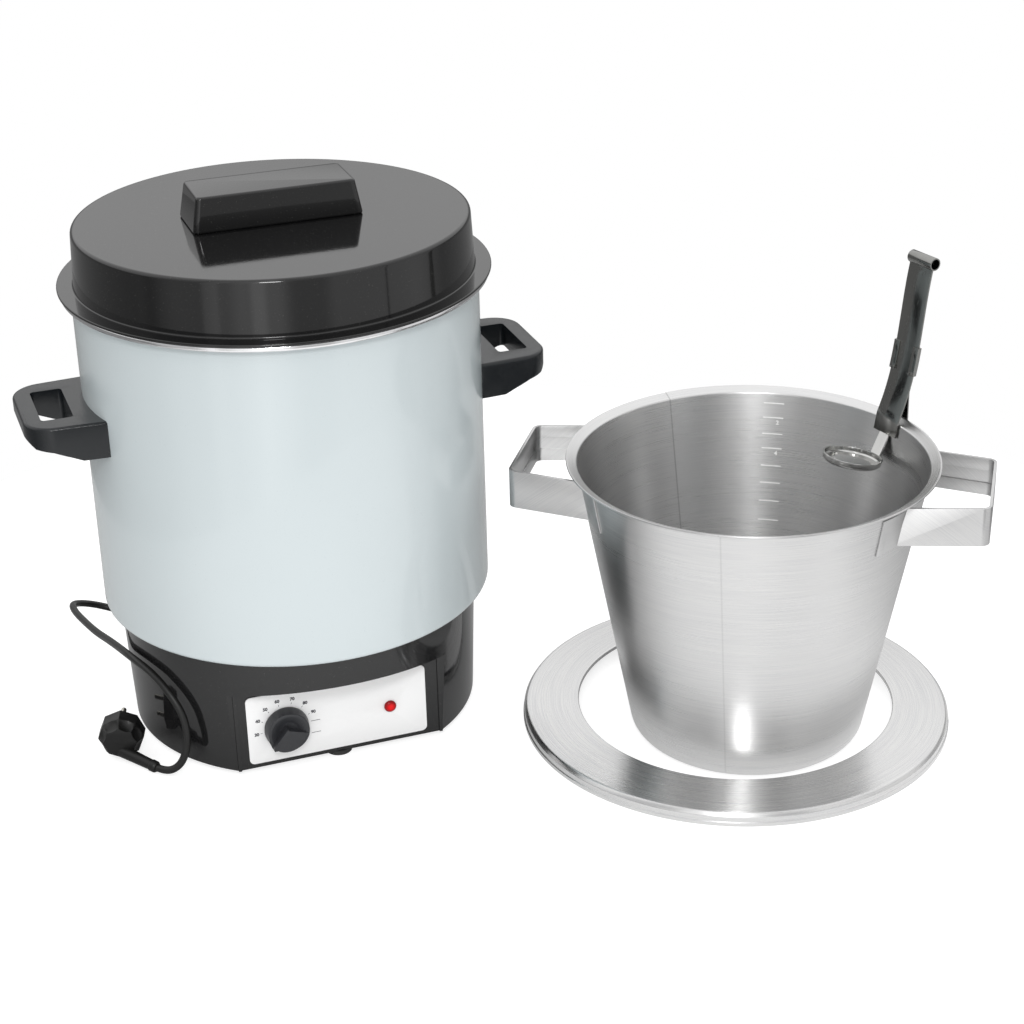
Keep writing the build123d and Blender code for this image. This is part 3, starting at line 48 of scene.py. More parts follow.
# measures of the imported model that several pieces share, in millimetres
PANEL_Y = -129.5
PLATE_THICK = 1.2
FASCIA_FRONT = PANEL_Y - PLATE_THICK
DIAL = (-50.5, 41.5)
LAMP = (47.5, 41.5)
DECK_Z = 124
TANK_R = 180
TANK_INNER_R = 178.5
TANK_TOP_Z = 426
LID_TOP_Z = 478.3
VESSEL_FOOT_R = 105.0
VESSEL_TOP_R = 157.2
VESSEL_TOP_Z = 271.4
VESSEL_WALL = 1.2


def from_kettle(x, y, z):
    """A place given in millimetres from the foot of the kettle's axis."""
    return KETTLE + Vector((x, y, z)) * MM


# camera and light
CAMERA_PLACE = from_kettle(-407.4, -1809.7, 1059.1)
CAMERA_HEADING = math.radians(19.0)
CAMERA_PITCH = math.radians(25.4)
CAMERA_ROLL = math.radians(1.5)
FOCAL_PIXELS = 2184.9
FRAME_PIXELS = 1024


def add_object(name, data):
    added = bpy.data.objects.new(name, data)
    bpy.context.scene.collection.objects.link(added)
    return added


def make_camera():
    """The camera that was solved on the photographed edges."""
    lens = bpy.data.cameras.new("photo_camera")
    lens.sensor_width = 36.0
    lens.lens = FOCAL_PIXELS / FRAME_PIXELS * lens.sensor_width
    lens.clip_start, lens.clip_end = 0.05, 50.0
    camera = add_object("photo_camera", lens)
    level_right = Vector((math.cos(CAMERA_HEADING), -math.sin(CAMERA_HEADING), 0))
    level_ahead = Vector((math.sin(CAMERA_HEADING), math.cos(CAMERA_HEADING), 0))
    ahead = level_ahead * math.cos(CAMERA_PITCH) - Vector((0, 0, math.sin(CAMERA_PITCH)))
    straight_up = level_right.cross(ahead)
    right = level_right * math.cos(CAMERA_ROLL) - straight_up * math.sin(CAMERA_ROLL)
    up = right.cross(ahead)
    turn = Matrix((right, up, -ahead)).transposed().to_4x4()
    camera.matrix_world = Matrix.Translation(CAMERA_PLACE) @ turn
    bpy.context.scene.camera = camera


def softbox(name, place, aim, size, watts):
    """A white rectangular lamp turned to what it lights."""
    lamp = bpy.data.lights.new(name, "AREA")
    lamp.shape = "RECTANGLE"
    lamp.size, lamp.size_y = size
    lamp.energy = watts
    holder = add_object(name, lamp)
    holder.location = place
    holder.rotation_euler = (Vector(aim) - Vector(place)).to_track_quat("-Z", "Y").to_euler()


# shader building
class Value:
    """A shader socket that ordinary arithmetic works on."""

    def __init__(self, finish, socket):
        self.finish = finish
        self.socket = socket

    def __add__(self, other):
        return self.finish.maths("ADD", self, other)

    def __sub__(self, other):
        return self.finish.maths("SUBTRACT", self, other)

    def __rsub__(self, other):
        return self.finish.maths("SUBTRACT", other, self)

    def __mul__(self, other):
        return self.finish.maths("MULTIPLY", self, other)

    def __pow__(self, other):
        return self.finish.maths("POWER", self, other)

    def __gt__(self, other):
        return self.finish.maths("GREATER_THAN", self, other)

    __radd__ = __add__
    __rmul__ = __mul__


class Finish:
    """One material: node() adds any shader node, the other methods are short ways to the common ones."""

    def __init__(self, name, **sockets):
        self.material = bpy.data.materials.new(name)
        self.material.use_nodes = True
        self.tree = self.material.node_tree
        self.shader = self.tree.nodes["Principled BSDF"]
        self.set(**sockets)

    def link(self, socket, value):
        if isinstance(value, Value):
            self.tree.links.new(value.socket, socket)
        elif socket.type == "RGBA" and len(value) == 3:
            socket.default_value = (*value, 1)
        else:
            socket.default_value = value

    def node(self, kind, settings=None, out=0, **sockets):
        made = self.tree.nodes.new(kind)
        for key, setting in (settings or {}).items():
            setattr(made, key, setting)
        for key, value in sockets.items():
            place = int(key[2:]) if key.startswith("in") and key[2:].isdigit() else key.replace("_", " ")
            self.link(made.inputs[place], value)
        return Value(self, made.outputs[out])

    def maths(self, operation, a, b=0.0):
        return self.node("ShaderNodeMath", {"operation": operation}, in0=a, in1=b)

    def set(self, **sockets):
        for key, value in sockets.items():
            self.link(self.shader.inputs[key.replace("_", " ")], value)

    def place(self, centre=(0, 0, 0), scale=(1, 1, 1)):
        """Object coordinates measured from a centre and stretched."""
        here = self.node("ShaderNodeTexCoord", out=3)
        shifted = self.node("ShaderNodeVectorMath", {"operation": "SUBTRACT"}, in0=here, in1=tuple(centre))
        return self.node("ShaderNodeVectorMath", {"operation": "MULTIPLY"}, in0=shifted, in1=scale)

    def split(self, vector):
        parts = self.node("ShaderNodeSeparateXYZ", in0=vector).socket.node
        return [Value(self, output) for output in parts.outputs]

    def join(self, x, y, z):
        return self.node("ShaderNodeCombineXYZ", in0=x, in1=y, in2=z)

    def noise(self, vector, scale=1.0, detail=2.0, roughness=0.5):
        return self.node("ShaderNodeTexNoise", Vector=vector, Scale=scale, Detail=detail, Roughness=roughness)

    def between(self, value, low, high, start=0.0, end=1.0):
        """A value carried from low..high to start..end, and held at both ends."""
        settings = {"interpolation_type": "SMOOTHSTEP"}
        return self.node("ShaderNodeMapRange", settings, in0=value, in1=low, in2=high, in3=start, in4=end)

    def mix(self, share, a, b):
        settings = {"data_type": "RGBA"}
        return self.node("ShaderNodeMix", settings, out=2, in0=share, in6=a, in7=b)

    def bump(self, height, distance, strength=1.0):
        self.set(Normal=self.node("ShaderNodeBump", Strength=strength, Distance=distance, Height=height))


class Backdrop(Finish):
    """The light that comes in from all round, built the same way as a material."""

    def __init__(self, name):
        self.world = bpy.data.worlds.new(name)
        self.world.use_nodes = True
        self.tree = self.world.node_tree
        self.shader = self.tree.nodes["Background"]

    def strip(self, angle, centre, half_width, soft):
        """1 inside an upright strip of the surroundings and 0 outside it. Angles in degrees."""
        off = angle - math.radians(centre)
        turn = self.node("ShaderNodeMath", {"operation": "WRAP"}, in0=off, in1=math.pi, in2=-math.pi)
        low, high = math.radians(half_width), math.radians(half_width + soft)
        return self.between(self.maths("ABSOLUTE", turn), low, high, 1.0, 0.0)


def enamel_finish():
    finish = Finish("vitreous_enamel", Coat_Weight=0.5, Coat_Roughness=0.03)
    here = finish.place(KETTLE)
    cloud = finish.noise(here, 9.0, 3.0)
    speck = finish.between(finish.noise(here, 900.0, 1.0), 0.70, 0.78)
    ground = finish.mix(cloud, (0.52, 0.575, 0.59), (0.55, 0.607, 0.622))
    finish.set(Base_Color=finish.mix(speck * 0.35, ground, (0.36, 0.41, 0.44)))
    finish.set(Roughness=0.16 + finish.noise(here, 60.0, 2.0) * 0.10)
    finish.bump(finish.noise(here, 160.0, 2.0), 0.00015, 0.25)
    return finish.material


def gloss_black_finish(name, centre, shade):
    """Moulded black plastic with a polished skin, faint wipe marks and dust."""
    finish = Finish(name, Specular_IOR_Level=0.5)
    here = finish.place(centre)
    wiped = finish.noise(finish.place(centre, (14, 3, 9)), 2.0, 4.0)
    dust = finish.between(finish.noise(here, 1400.0, 0.0), 0.78, 0.84)
    finish.set(Base_Color=finish.mix(dust * 0.4, (shade, shade, shade * 1.03), (0.12, 0.12, 0.11)))
    finish.set(Roughness=0.045 + wiped * 0.06 + dust * 0.2)
    finish.bump(finish.noise(here, 240.0, 2.0), 0.0001, 0.15)
    return finish.material


def satin_plastic_finish(name, colour, grain, roughness, specular=0.5):
    """Moulded plastic with a fine spark-eroded grain."""
    finish = Finish(name, Specular_IOR_Level=specular)
    here = finish.place()
    pale = tuple(c * 1.5 + 0.004 for c in colour)
    finish.set(Base_Color=finish.mix(finish.noise(here, 30.0, 3.0) * 0.5, colour, pale))
    finish.set(Roughness=roughness + finish.noise(here, 120.0, 2.0) * 0.12)
    finish.bump(finish.noise(here, grain, 2.0), 0.0003, 0.35)
    return finish.material


def brushed_finish(name, centre, shade, roughness, streaks=2600.0, seams=()):
    """Steel brushed round an axis: fine lines that run level along walls and in circles on flats."""
    finish = Finish(name, Metallic=1.0, Anisotropic=0.75, Anisotropic_Rotation=0.25)
    x, y, z = finish.split(finish.place(centre))
    from_axis = (x * x + y * y) ** 0.5
    across = (z + from_axis * 0.9) * streaks
    lines = finish.noise(finish.join(x * 14.0, y * 14.0, across), 1.0, 3.0, 0.6)
    broad = finish.noise(finish.join(x * 5.0, y * 5.0, (z + from_axis) * 90.0), 1.0, 2.0)
    cloud = finish.noise(finish.place(centre), 14.0, 3.0)
    dark = (shade * 0.86, shade * 0.86, shade * 0.87)
    colour = finish.mix(finish.between(lines, 0.3, 0.7), dark, (shade, shade * 0.997, shade * 0.985))
    height = lines
    for angle, depth in seams:
        line = finish.maths("ABSOLUTE", x * math.sin(angle) - y * math.cos(angle))
        facing = x * math.cos(angle) + y * math.sin(angle) > 0.0
        seam = finish.between(line, 0.0002, 0.0011, 1.0, 0.0) * facing
        colour = finish.mix(seam * depth, colour, (0.25, 0.25, 0.25))
        height = height - seam * depth * 4.0
    finish.set(Base_Color=colour)
    finish.set(Roughness=roughness + lines * 0.10 + broad * 0.05 + cloud * 0.05)
    finish.bump(height, 0.00002, 0.6)
    return finish.material


def polished_steel_finish(name, colour, roughness):
    """Bright rolled steel with smears and hairline scratches."""
    finish = Finish(name, Metallic=1.0)
    here = finish.place()
    smear = finish.noise(finish.place((0, 0, 0), (20, 60, 12)), 2.0, 4.0)
    x, y, z = finish.split(here)
    scratch = finish.between(finish.noise(finish.join(x * 900.0, y * 900.0, z * 25.0), 1.0, 1.0), 0.62, 0.72)
    worn = tuple(c * 0.6 for c in colour)
    finish.set(Base_Color=finish.mix(smear * 0.5, colour, worn))
    finish.set(Roughness=roughness + smear * 0.12 + scratch * 0.15)
    finish.bump(scratch, 0.00001, 0.5)
    return finish.material


def printed_plate_finish():
    finish = Finish("fascia_film")
    here = finish.place()
    film = finish.noise(here, 300.0, 2.0)
    finish.set(Base_Color=finish.mix(film * 0.5, (0.88, 0.88, 0.88), (0.85, 0.85, 0.85)))
    finish.set(Roughness=0.34 + finish.noise(here, 500.0, 1.0) * 0.08)
    finish.bump(finish.noise(here, 2200.0, 1.0), 0.00005, 0.3)
    return finish.material


def ink_finish():
    finish = Finish("dial_ink")
    worn = finish.noise(finish.place(), 1800.0, 2.0)
    finish.set(Base_Color=finish.mix(worn, (0.015, 0.017, 0.025), (0.05, 0.05, 0.06)))
    finish.set(Roughness=0.5 + worn * 0.1)
    return finish.material


def lamp_finish():
    finish = Finish("red_lamp", Specular_IOR_Level=0.2)
    x, _, z = finish.split(finish.place(from_kettle(LAMP[0], FASCIA_FRONT, LAMP[1])))
    from_middle = (x * x + z * z) ** 0.5
    rings = finish.maths("SINE", from_middle * 5200.0)
    deep = finish.between(from_middle, 0.001, 0.0056)
    finish.set(Base_Color=finish.mix(deep, (0.80, 0.008, 0.010), (0.25, 0.003, 0.005)))
    finish.set(Roughness=0.22 + deep * 0.1)
    finish.bump(rings, 0.00008, 0.5)
    return finish.material


def rubber_finish(name, shade, gloss):
    finish = Finish(name, Specular_IOR_Level=0.32)
    here = finish.place()
    film = finish.noise(here, 55.0, 3.0)
    worn = (shade * 2.2, shade * 2.2, shade * 2.1)
    finish.set(Base_Color=finish.mix(film * 0.7, (shade, shade, shade), worn))
    finish.set(Roughness=gloss + film * 0.15)
    finish.bump(finish.noise(here, 1600.0, 2.0), 0.00008, 0.4)
    return finish.material


def floor_finish():
    """A pale table that the camera sees white. The pieces see it bright in front and dim towards the back."""
    finish = Finish("studio_floor")
    here = finish.place()
    x, y, _ = finish.split(here)
    soft = finish.noise(here, 2.0, 2.0)
    finish.set(Base_Color=finish.mix(soft, (0.38, 0.38, 0.38), (0.40, 0.40, 0.40)))
    finish.set(Roughness=0.75 + soft * 0.1)
    seen = finish.node("ShaderNodeLightPath")
    front = finish.between(y, -0.28, 0.10, 1.0, 0.0) * finish.between(x, 0.34, 0.62, 1.0, 0.35)
    glow = finish.mix(seen + (1.0 - seen) * front, (0.04, 0.04, 0.04), (1, 1, 1))
    finish.set(Emission_Color=glow, Emission_Strength=0.76)
    return finish.material


# modelling helpers
def begin():
    """Object mode with nothing selected."""
    if bpy.context.object and bpy.context.object.mode != "OBJECT":
        bpy.ops.object.mode_set(mode="OBJECT")
    bpy.ops.object.select_all(action="DESELECT")


def pick(piece):
    """Object mode with only this piece selected."""
    begin()
    piece.select_set(True)
    bpy.context.view_layer.objects.active = piece


def settle(piece):
    """Puts a piece's place, turn and size into its mesh."""
    pick(piece)
    bpy.ops.object.transform_apply(location=True, rotation=True, scale=True)


def smooth(piece, angle=32):
    pick(piece)
    bpy.ops.object.shade_smooth_by_angle(angle=math.radians(angle))


def apply_modifier(piece, kind, **settings):
    pick(piece)
    modifier = piece.modifiers.new(kind.lower(), kind)
    for key, setting in settings.items():
        setattr(modifier, key, setting)
    bpy.ops.object.modifier_apply(modifier=modifier.name)


def round_edges(piece, width, segments=3, angle=30):
    apply_modifier(
        piece, "BEVEL", harden_normals=False, width=width * MM, segments=segments,
        limit_method="ANGLE", angle_limit=math.radians(angle),
    )


def dress(piece, material, body, slot, *nodes):
    """Gives a piece its finish and its body, and hides the imported nodes that it stands for."""
    piece.data.materials.clear()
    piece.data.materials.append(material)
    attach(piece, body)
    if nodes:
        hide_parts(*nodes)
    return piece


DEGREES_A_STEP = 12
SUPPORT_GAP = 0.4


def rounded(*corners, closed=True):
    """An outline with round corners. Each corner is (distance out, height, radius of the rounding).

    A long straight run gets one more point just past each rounding, which keeps it flat when it is shaded.
    """
    points = []
    count = len(corners)
    for i, (x, y, radius) in enumerate(corners):
        here = Vector((x, y))
        if radius == 0 or (not closed and i in (0, count - 1)):
            points.append(here)
            continue
        back = Vector(corners[i - 1][:2]) - here
        ahead = Vector(corners[(i + 1) % count][:2]) - here
        to_last, to_next = back.normalized(), ahead.normalized()
        half = to_last.angle(to_next) / 2
        reach = radius / math.tan(half)
        centre = here + (to_last + to_next).normalized() * (radius / math.sin(half))
        first, last = here + to_last * reach - centre, here + to_next * reach - centre
        turn = math.atan2(first.cross(last), first.dot(last))
        steps = max(2, round(abs(math.degrees(turn)) / DEGREES_A_STEP))
        long_run = reach + 6 * radius + 3
        if back.length > long_run:
            points.append(here + to_last * (reach + SUPPORT_GAP))
        for k in range(steps + 1):
            points.append(centre + first @ Matrix.Rotation(-turn * k / steps, 2))
        if ahead.length > long_run:
            points.append(here + to_next * (reach + SUPPORT_GAP))
    return points


def copy_of(node, name, edge, segments=2):
    """A merged copy of a node's mesh with its sharp edges rounded."""
    piece = add_object(name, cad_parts[node].data.copy())
    pick(piece)
    bpy.ops.object.mode_set(mode="EDIT")
    bpy.ops.mesh.select_all(action="SELECT")
    bpy.ops.mesh.remove_doubles(threshold=0.00001)
    bpy.ops.mesh.dissolve_limited(angle_limit=math.radians(0.8))
    bpy.ops.object.mode_set(mode="OBJECT")
    bpy.ops.mesh.customdata_custom_splitnormals_clear()
    round_edges(piece, edge, segments)
    smooth(piece)
    return piece


def block(name, size, place, turn=(0, 0, 0)):
    """A box to shape further. Size and place in millimetres."""
    begin()
    bpy.ops.mesh.primitive_cube_add(size=1, location=place, rotation=turn)
    piece = bpy.context.object
    piece.name = name
    piece.scale = Vector(size) * MM
    settle(piece)
    return piece


def cut(piece, cutter):
    """Takes the cutter's form out of a piece."""
    apply_modifier(piece, "BOOLEAN", object=cutter, operation="DIFFERENCE", solver="EXACT")
    bpy.data.objects.remove(cutter)


def together(name, pieces):
    """Joins pieces into one object."""
    begin()
    for piece in pieces:
        piece.select_set(True)
    bpy.context.view_layer.objects.active = pieces[0]
    bpy.ops.object.join()
    joined = bpy.context.object
    joined.name = name
    settle(joined)
    return joined


WELD = 0.000002


def chain(name, points, closed=True):
    """A wire drawn one point after another, in metres."""
    begin()
    bpy.ops.mesh.primitive_plane_add(size=MM)
    piece = bpy.context.object
    piece.name = name
    bpy.ops.object.mode_set(mode="EDIT")
    bpy.ops.mesh.select_mode(type="VERT")
    bpy.ops.mesh.select_all(action="SELECT")
    bpy.ops.mesh.merge(type="CENTER")
    bpy.ops.transform.translate(value=points[0])
    for before, after in zip(points, points[1:] + points[:1] * closed):
        bpy.ops.mesh.extrude_region_move(TRANSFORM_OT_translate={"value": after - before})
    bpy.ops.mesh.select_all(action="SELECT")
    bpy.ops.mesh.remove_doubles(threshold=WELD)
    return piece


def lathe(name, centre, outline, steps=144, closed=True):
    """Spins an outline of (radius, height) in millimetres round an upright axis."""
    piece = chain(name, [centre + Vector((p[0], 0, p[1])) * MM for p in outline], closed)
    bpy.ops.mesh.spin(steps=steps, angle=math.tau, center=centre, axis=(0, 0, 1))
    bpy.ops.mesh.select_all(action="SELECT")
    bpy.ops.mesh.remove_doubles(threshold=WELD)
    bpy.ops.mesh.normals_make_consistent(inside=False)
    bpy.ops.object.mode_set(mode="OBJECT")
    settle(piece)
    smooth(piece)
    return piece


def prism(name, outline, low, high):
    """A closed outline (x, y) in millimetres pulled up from one height to another."""
    piece = chain(name, [Vector((p[0], p[1], low)) * MM for p in outline])
    bpy.ops.mesh.edge_face_add()
    lift = Vector((0, 0, high - low)) * MM
    bpy.ops.mesh.extrude_region_move(TRANSFORM_OT_translate={"value": lift})
    bpy.ops.mesh.select_all(action="SELECT")
    bpy.ops.mesh.normals_make_consistent(inside=False)
    bpy.ops.object.mode_set(mode="OBJECT")
    settle(piece)
    return piece


def stand(piece, place, x_way, z_way):
    """Moves a piece made at the origin to a place, with its x and z turned to the ways given."""
    z_axis = Vector(z_way).normalized()
    x_axis = (Vector(x_way) - z_axis * z_axis.dot(Vector(x_way))).normalized()
    turn = Matrix((x_axis, z_axis.cross(x_axis), z_axis)).transposed().to_4x4()
    piece.matrix_world = Matrix.Translation(place) @ turn
    settle(piece)
    return piece


def rod(name, radius, length, place, way, steps=48):
    """A round bar that starts at a place and runs a way. Millimetres."""
    piece = lathe(name, Vector(), [(0, 0), (radius, 0), (radius, length), (0, length)], steps, closed=False)
    side = (0, 0, 1) if abs(Vector(way).normalized().z) < 0.9 else (1, 0, 0)
    return stand(piece, place, side, way)


def ring_of(radius, first, last, count):
    """Points spread evenly on an arc, from one angle in degrees to another."""
    return [
        (radius * math.cos(a), radius * math.sin(a))
        for a in (math.radians(first + (last - first) * k / (count - 1)) for k in range(count))
    ]


def pick_faces(piece, wanted):
    """Edit mode with only the wanted faces of a piece selected."""
    bpy.ops.object.mode_set(mode="EDIT")
    bpy.ops.mesh.select_mode(type="FACE")
    bpy.ops.mesh.select_all(action="DESELECT")
    bpy.ops.object.mode_set(mode="OBJECT")
    for face in piece.data.polygons:
        face.select = wanted(face.center)
    bpy.ops.object.mode_set(mode="EDIT")


def raised_text(words, size, offset, thickness):
    """Plain characters as a mesh, centred on the origin and facing up."""
    begin()
    bpy.ops.object.text_add()
    text = bpy.context.object.data
    text.body = words
    text.size = size
    text.offset = offset
    text.extrude = thickness
    text.resolution_u = 3
    text.align_x, text.align_y = "CENTER", "CENTER"
    bpy.ops.object.convert(target="MESH")
    return bpy.context.object


# kettle
BASE_STEPS = 288
SKIN = 2.6
GLAND_X, GLAND_Z = 24, 20


def panel_cutter(front_y, top_z, eave_y, eave_z):
    """Clears the space in front of the flat panel, up to the slanted eave over it."""
    outline = [(front_y, -2), (front_y, top_z), (eave_y, eave_z), (-185, eave_z), (-185, -2)]
    return stand(prism("panel_cutter", outline, -190, 190), KETTLE, (0, 1, 0), (1, 0, 0))


def make_base():
    """A moulded housing spun in one, with the flat panel cut into its front, posts, gland boss and ribs."""
    outer = rounded(
        (0, 4, 0), (161.8, 4, 0.8), (166.5, 120, 0.6), (171.5, 121, 0.6), (171.5, DECK_Z, 1.2), (0, DECK_Z, 0),
        closed=False,
    )
    shell = lathe("base_shell", KETTLE, outer, BASE_STEPS, closed=False)
    cut(shell, panel_cutter(PANEL_Y, 83, -166.5, 92))
    hollow = [(0, 0), (159.2, 0), (159.2, 4), (163.9, 121), (0, 121)]
    cavity = lathe("cavity", KETTLE, hollow, BASE_STEPS, closed=False)
    cut(cavity, panel_cutter(PANEL_Y + SKIN, 84.56, -163.9, 94.6))
    cut(shell, cavity)
    cut(shell, rod("deck_hole", 128, 8, from_kettle(0, 0, 118), (0, 0, 1), 128))
    for x, radius in ((DIAL[0], 5.3), (LAMP[0], 4.5)):
        cut(shell, rod("hole", radius, 6, from_kettle(x, PANEL_Y - 1, DIAL[1]), (0, 1, 0)))
    cut(shell, rod("gland_hole", 6.05, 20, from_kettle(GLAND_X, 148, GLAND_Z), (0, 1, 0)))
    round_edges(shell, 0.5, 2, 40)
    smooth(shell, 28)
    parts = [shell]
    post = [(0, 22.5), (2.05, 22.5), (2.05, 6.5), (5, 6.5), (5, 121.3), (0, 121.3)]
    for x, y in ring_of(146, 20, 160, 2) + ring_of(146, 214, 326, 2):
        parts.append(lathe("post", from_kettle(x, y, 0), post, 32, closed=False))
    for side in (-1, 1):
        parts.append(block("rib", (3, 1.7, 79), from_kettle(side * 95.5, PANEL_Y - 0.75, 43.5)))
    boss = lathe("boss", Vector(), [(6.05, 0), (11, 0), (11, 9), (6.05, 9)], 48)
    parts.append(stand(boss, from_kettle(GLAND_X, 155, GLAND_Z), (0, 0, 1), (0, 1, 0)))
    black = gloss_black_finish("gloss_black_base", KETTLE, 0.010)
    dress(together("base_shell", parts), black, "kettle", "base_black", "base_housing")


def make_kettle():
    """The enamelled tank with its trim, base, side handles, panel plate, print and lamp."""
    tank = rounded(
        (0, 129, 0), (150, 129, 4), (154, DECK_Z, 3), (TANK_R, DECK_Z, 4), (TANK_R, 422.8, 1),
        (188.5, 422.8, 1.2), (188.5, TANK_TOP_Z, 1.2), (TANK_INNER_R, TANK_TOP_Z, 0.6),
        (TANK_INNER_R, 125.5, 5), (154, 125.5, 3), (150, 130.5, 4), (0, 130.5, 0), closed=False,
    )
    dress(lathe("tank_wall", KETTLE, tank, closed=False), enamel_finish(), "kettle", "enamel", "enamel_tank")
    trim = rounded(
        (TANK_INNER_R, 427, 0.4), (189.5, 427, 2.5), (189.5, 421.4, 2.5), (185, 421.4, 0.4), (185, 422.4, 0.3),
        (188.5, 422.4, 1.5), (188.5, TANK_TOP_Z, 1.5), (TANK_INNER_R, TANK_TOP_Z, 0.3),
    )
    bright = polished_steel_finish("chromed_trim", (0.80, 0.80, 0.81), 0.05)
    dress(lathe("rim_band", KETTLE, trim), bright, "kettle", "trim", "rim_trim")
    make_base()
    grey = satin_plastic_finish("grip_plastic", (0.007, 0.0085, 0.010), 1500.0, 0.11, 0.36)
    for side in ("left", "right"):
        grip = copy_of(f"side_handle_{side}", f"grip_{side}", 1.5, 4)
        dress(grip, grey, "kettle", "grip_grey", f"side_handle_{side}")
    plate = copy_of("fascia", "fascia_plate", 0.3)
    dress(plate, printed_plate_finish(), "kettle", "fascia", "fascia")
    make_print()
    lens = rounded((0, 0, 0), (5.6, 0, 0), (5.6, 1.6, 1.0), (4.2, 2.9, 1.6), (0, 3.2, 0), closed=False)
    lamp = lathe("lamp_dome", Vector(), lens, 64, closed=False)
    stand(lamp, from_kettle(LAMP[0], FASCIA_FRONT, LAMP[1]), (1, 0, 0), (0, -1, 0))
    dress(lamp, lamp_finish(), "kettle", "lamp_red", "lamp_lens")


# readings on the dial's plate and the angle in degrees at which each one stands
READINGS = {30: 187, 40: 158, 50: 130.7, 60: 104, 70: 74.5, 80: 46.8, 90: 20}
READING_R = 27.6
TICK_SHARE = 0.84
INK_THICK = 0.06


def make_print():
    """Plain dial numbers and index lines, a hair thick, on the fascia."""
    print_y = FASCIA_FRONT - INK_THICK / 2
    middle_x, middle_z = DIAL[0], DIAL[1] + 0.4
    marks = []
    for reading, degrees in READINGS.items():
        angle = math.radians(degrees)
        out = Vector((math.cos(angle), math.sin(angle))) * READING_R
        number = raised_text(str(reading), 0.0043, 0.00022, 0.00003)
        place = from_kettle(middle_x + out.x, print_y, middle_z + out.y)
        marks.append(stand(number, place, (1, 0, 0), (0, -1, 0)))
        tick = from_kettle(middle_x + out.x * TICK_SHARE, print_y, middle_z + out.y * TICK_SHARE)
        marks.append(block("tick", (1.8, INK_THICK, 0.4), tick, (0, -angle, 0)))
    for height in (42.0, 29.7):
        marks.append(block("line", (8.5, INK_THICK, 0.5), from_kettle(-23, print_y, height)))
    dress(together("dial_print", marks), ink_finish(), "kettle", "fascia")


def make_lid():
    """A deep pressing with a flange and an inner spigot."""
    black = gloss_black_finish("gloss_black_lid", KETTLE, 0.006)
    shell = rounded(
        (0, LID_TOP_Z, 0), (174.6, LID_TOP_Z, 3.4), (177.0, 429.4, 1.4), (191.5, 429.4, 1.0), (191.5, 427, 0.8),
        (177.0, 427, 0.3), (177.0, 415, 0.6), (174.6, 415, 0.6), (174.4, 428, 4), (171.8, 475.5, 3.0),
        (0, 475.5, 0), closed=False,
    )
    dress(lathe("lid_pressing", KETTLE, shell, closed=False), black, "lid", "lid_black", "lid_shell")
    make_lid_bar()


def make_lid_bar():
    """The bar handle, drawn in towards its top."""
    high = 31.3
    outline = rounded((-75.75, -31.5, 5), (75.75, -31.5, 5), (75.75, 31.5, 5), (-75.75, 31.5, 5))
    bar = prism("lid_bar", outline, 0, high)
    pick_faces(bar, lambda centre: centre.z > (high - 0.1) * MM)
    bpy.ops.transform.resize(value=(140.5 / 151.5, 56.6 / 63, 1), center_override=(0, 0, high * MM))
    bpy.ops.object.mode_set(mode="OBJECT")
    round_edges(bar, 2.2, 4, 40)
    smooth(bar)
    stand(bar, from_kettle(0, 0, LID_TOP_Z), (1, 0, 0), (0, 0, 1))
    dress(bar, gloss_black_finish("gloss_black_bar", KETTLE, 0.006), "lid", "lid_black", "lid_handle")


POINTER_DEGREES = 230.0


def make_knob():
    """A tapered body with a sunken face, a beak and a wedge that falls from its ridge to the body's edge."""
    grey = satin_plastic_finish("knob_plastic", (0.018, 0.019, 0.022), 2600.0, 0.36)
    point = math.radians(POINTER_DEGREES)
    dished = rounded(
        (0, 0, 0), (20.5, 0, 0.4), (20.5, 2.4, 0.6), (19.0, 11.6, 1.0), (16.8, 11.8, 1.0), (9, 8.2, 4),
        (0, 7.6, 0), closed=False,
    )
    body = lathe("body", Vector(), dished, 96, closed=False)
    round_side = ring_of(18.9, -2, 118, 13)
    ridge = rounded((-10, -5.8, 0.6), (17.6, -5.8, 1.5), (21.0, -3.4, 1.2), (19.4, -1.0, 0.8), (18.9, -0.8, 0))
    wedge = prism("wedge", [*ridge[:-1], *round_side], 3, 18)
    bpy.ops.object.mode_set(mode="EDIT")
    bpy.ops.mesh.select_all(action="SELECT")
    bpy.ops.mesh.bisect(plane_co=(0, -0.0058, 0.0171), plane_no=(0, 0.24, 1), use_fill=True, clear_outer=True)
    bpy.ops.object.mode_set(mode="OBJECT")
    round_edges(wedge, 0.45, 3, 40)
    beak = prism("beak", [(16.6, -10.6), (20.9, -3.6), (14, -1), (12, -8)], 1.2, 11.0)
    for piece in (wedge, beak):
        stand(piece, Vector(), (math.cos(point), math.sin(point), 0), (0, 0, 1))
    knob = together("dial_knob", [body, wedge, beak])
    smooth(knob, 35)
    stand(knob, from_kettle(DIAL[0], FASCIA_FRONT - 0.8, DIAL[1]), (1, 0, 0), (0, -1, 0))
    dress(knob, grey, "dial", "knob_grey", "knob")


# mains lead
CORD_R = 3.5
GLAND_TIP = (GLAND_X, 197, GLAND_Z)
COIL_MIDDLE = Vector((69, 252, 0))
COIL_R = 33.5
COIL_PITCH = 7.6
COIL_TURN_BACK = 5
COIL_QUARTERS = 11
TURN_POINTS = 16
RELIEF_TIP = (-165, -97, 4.8)
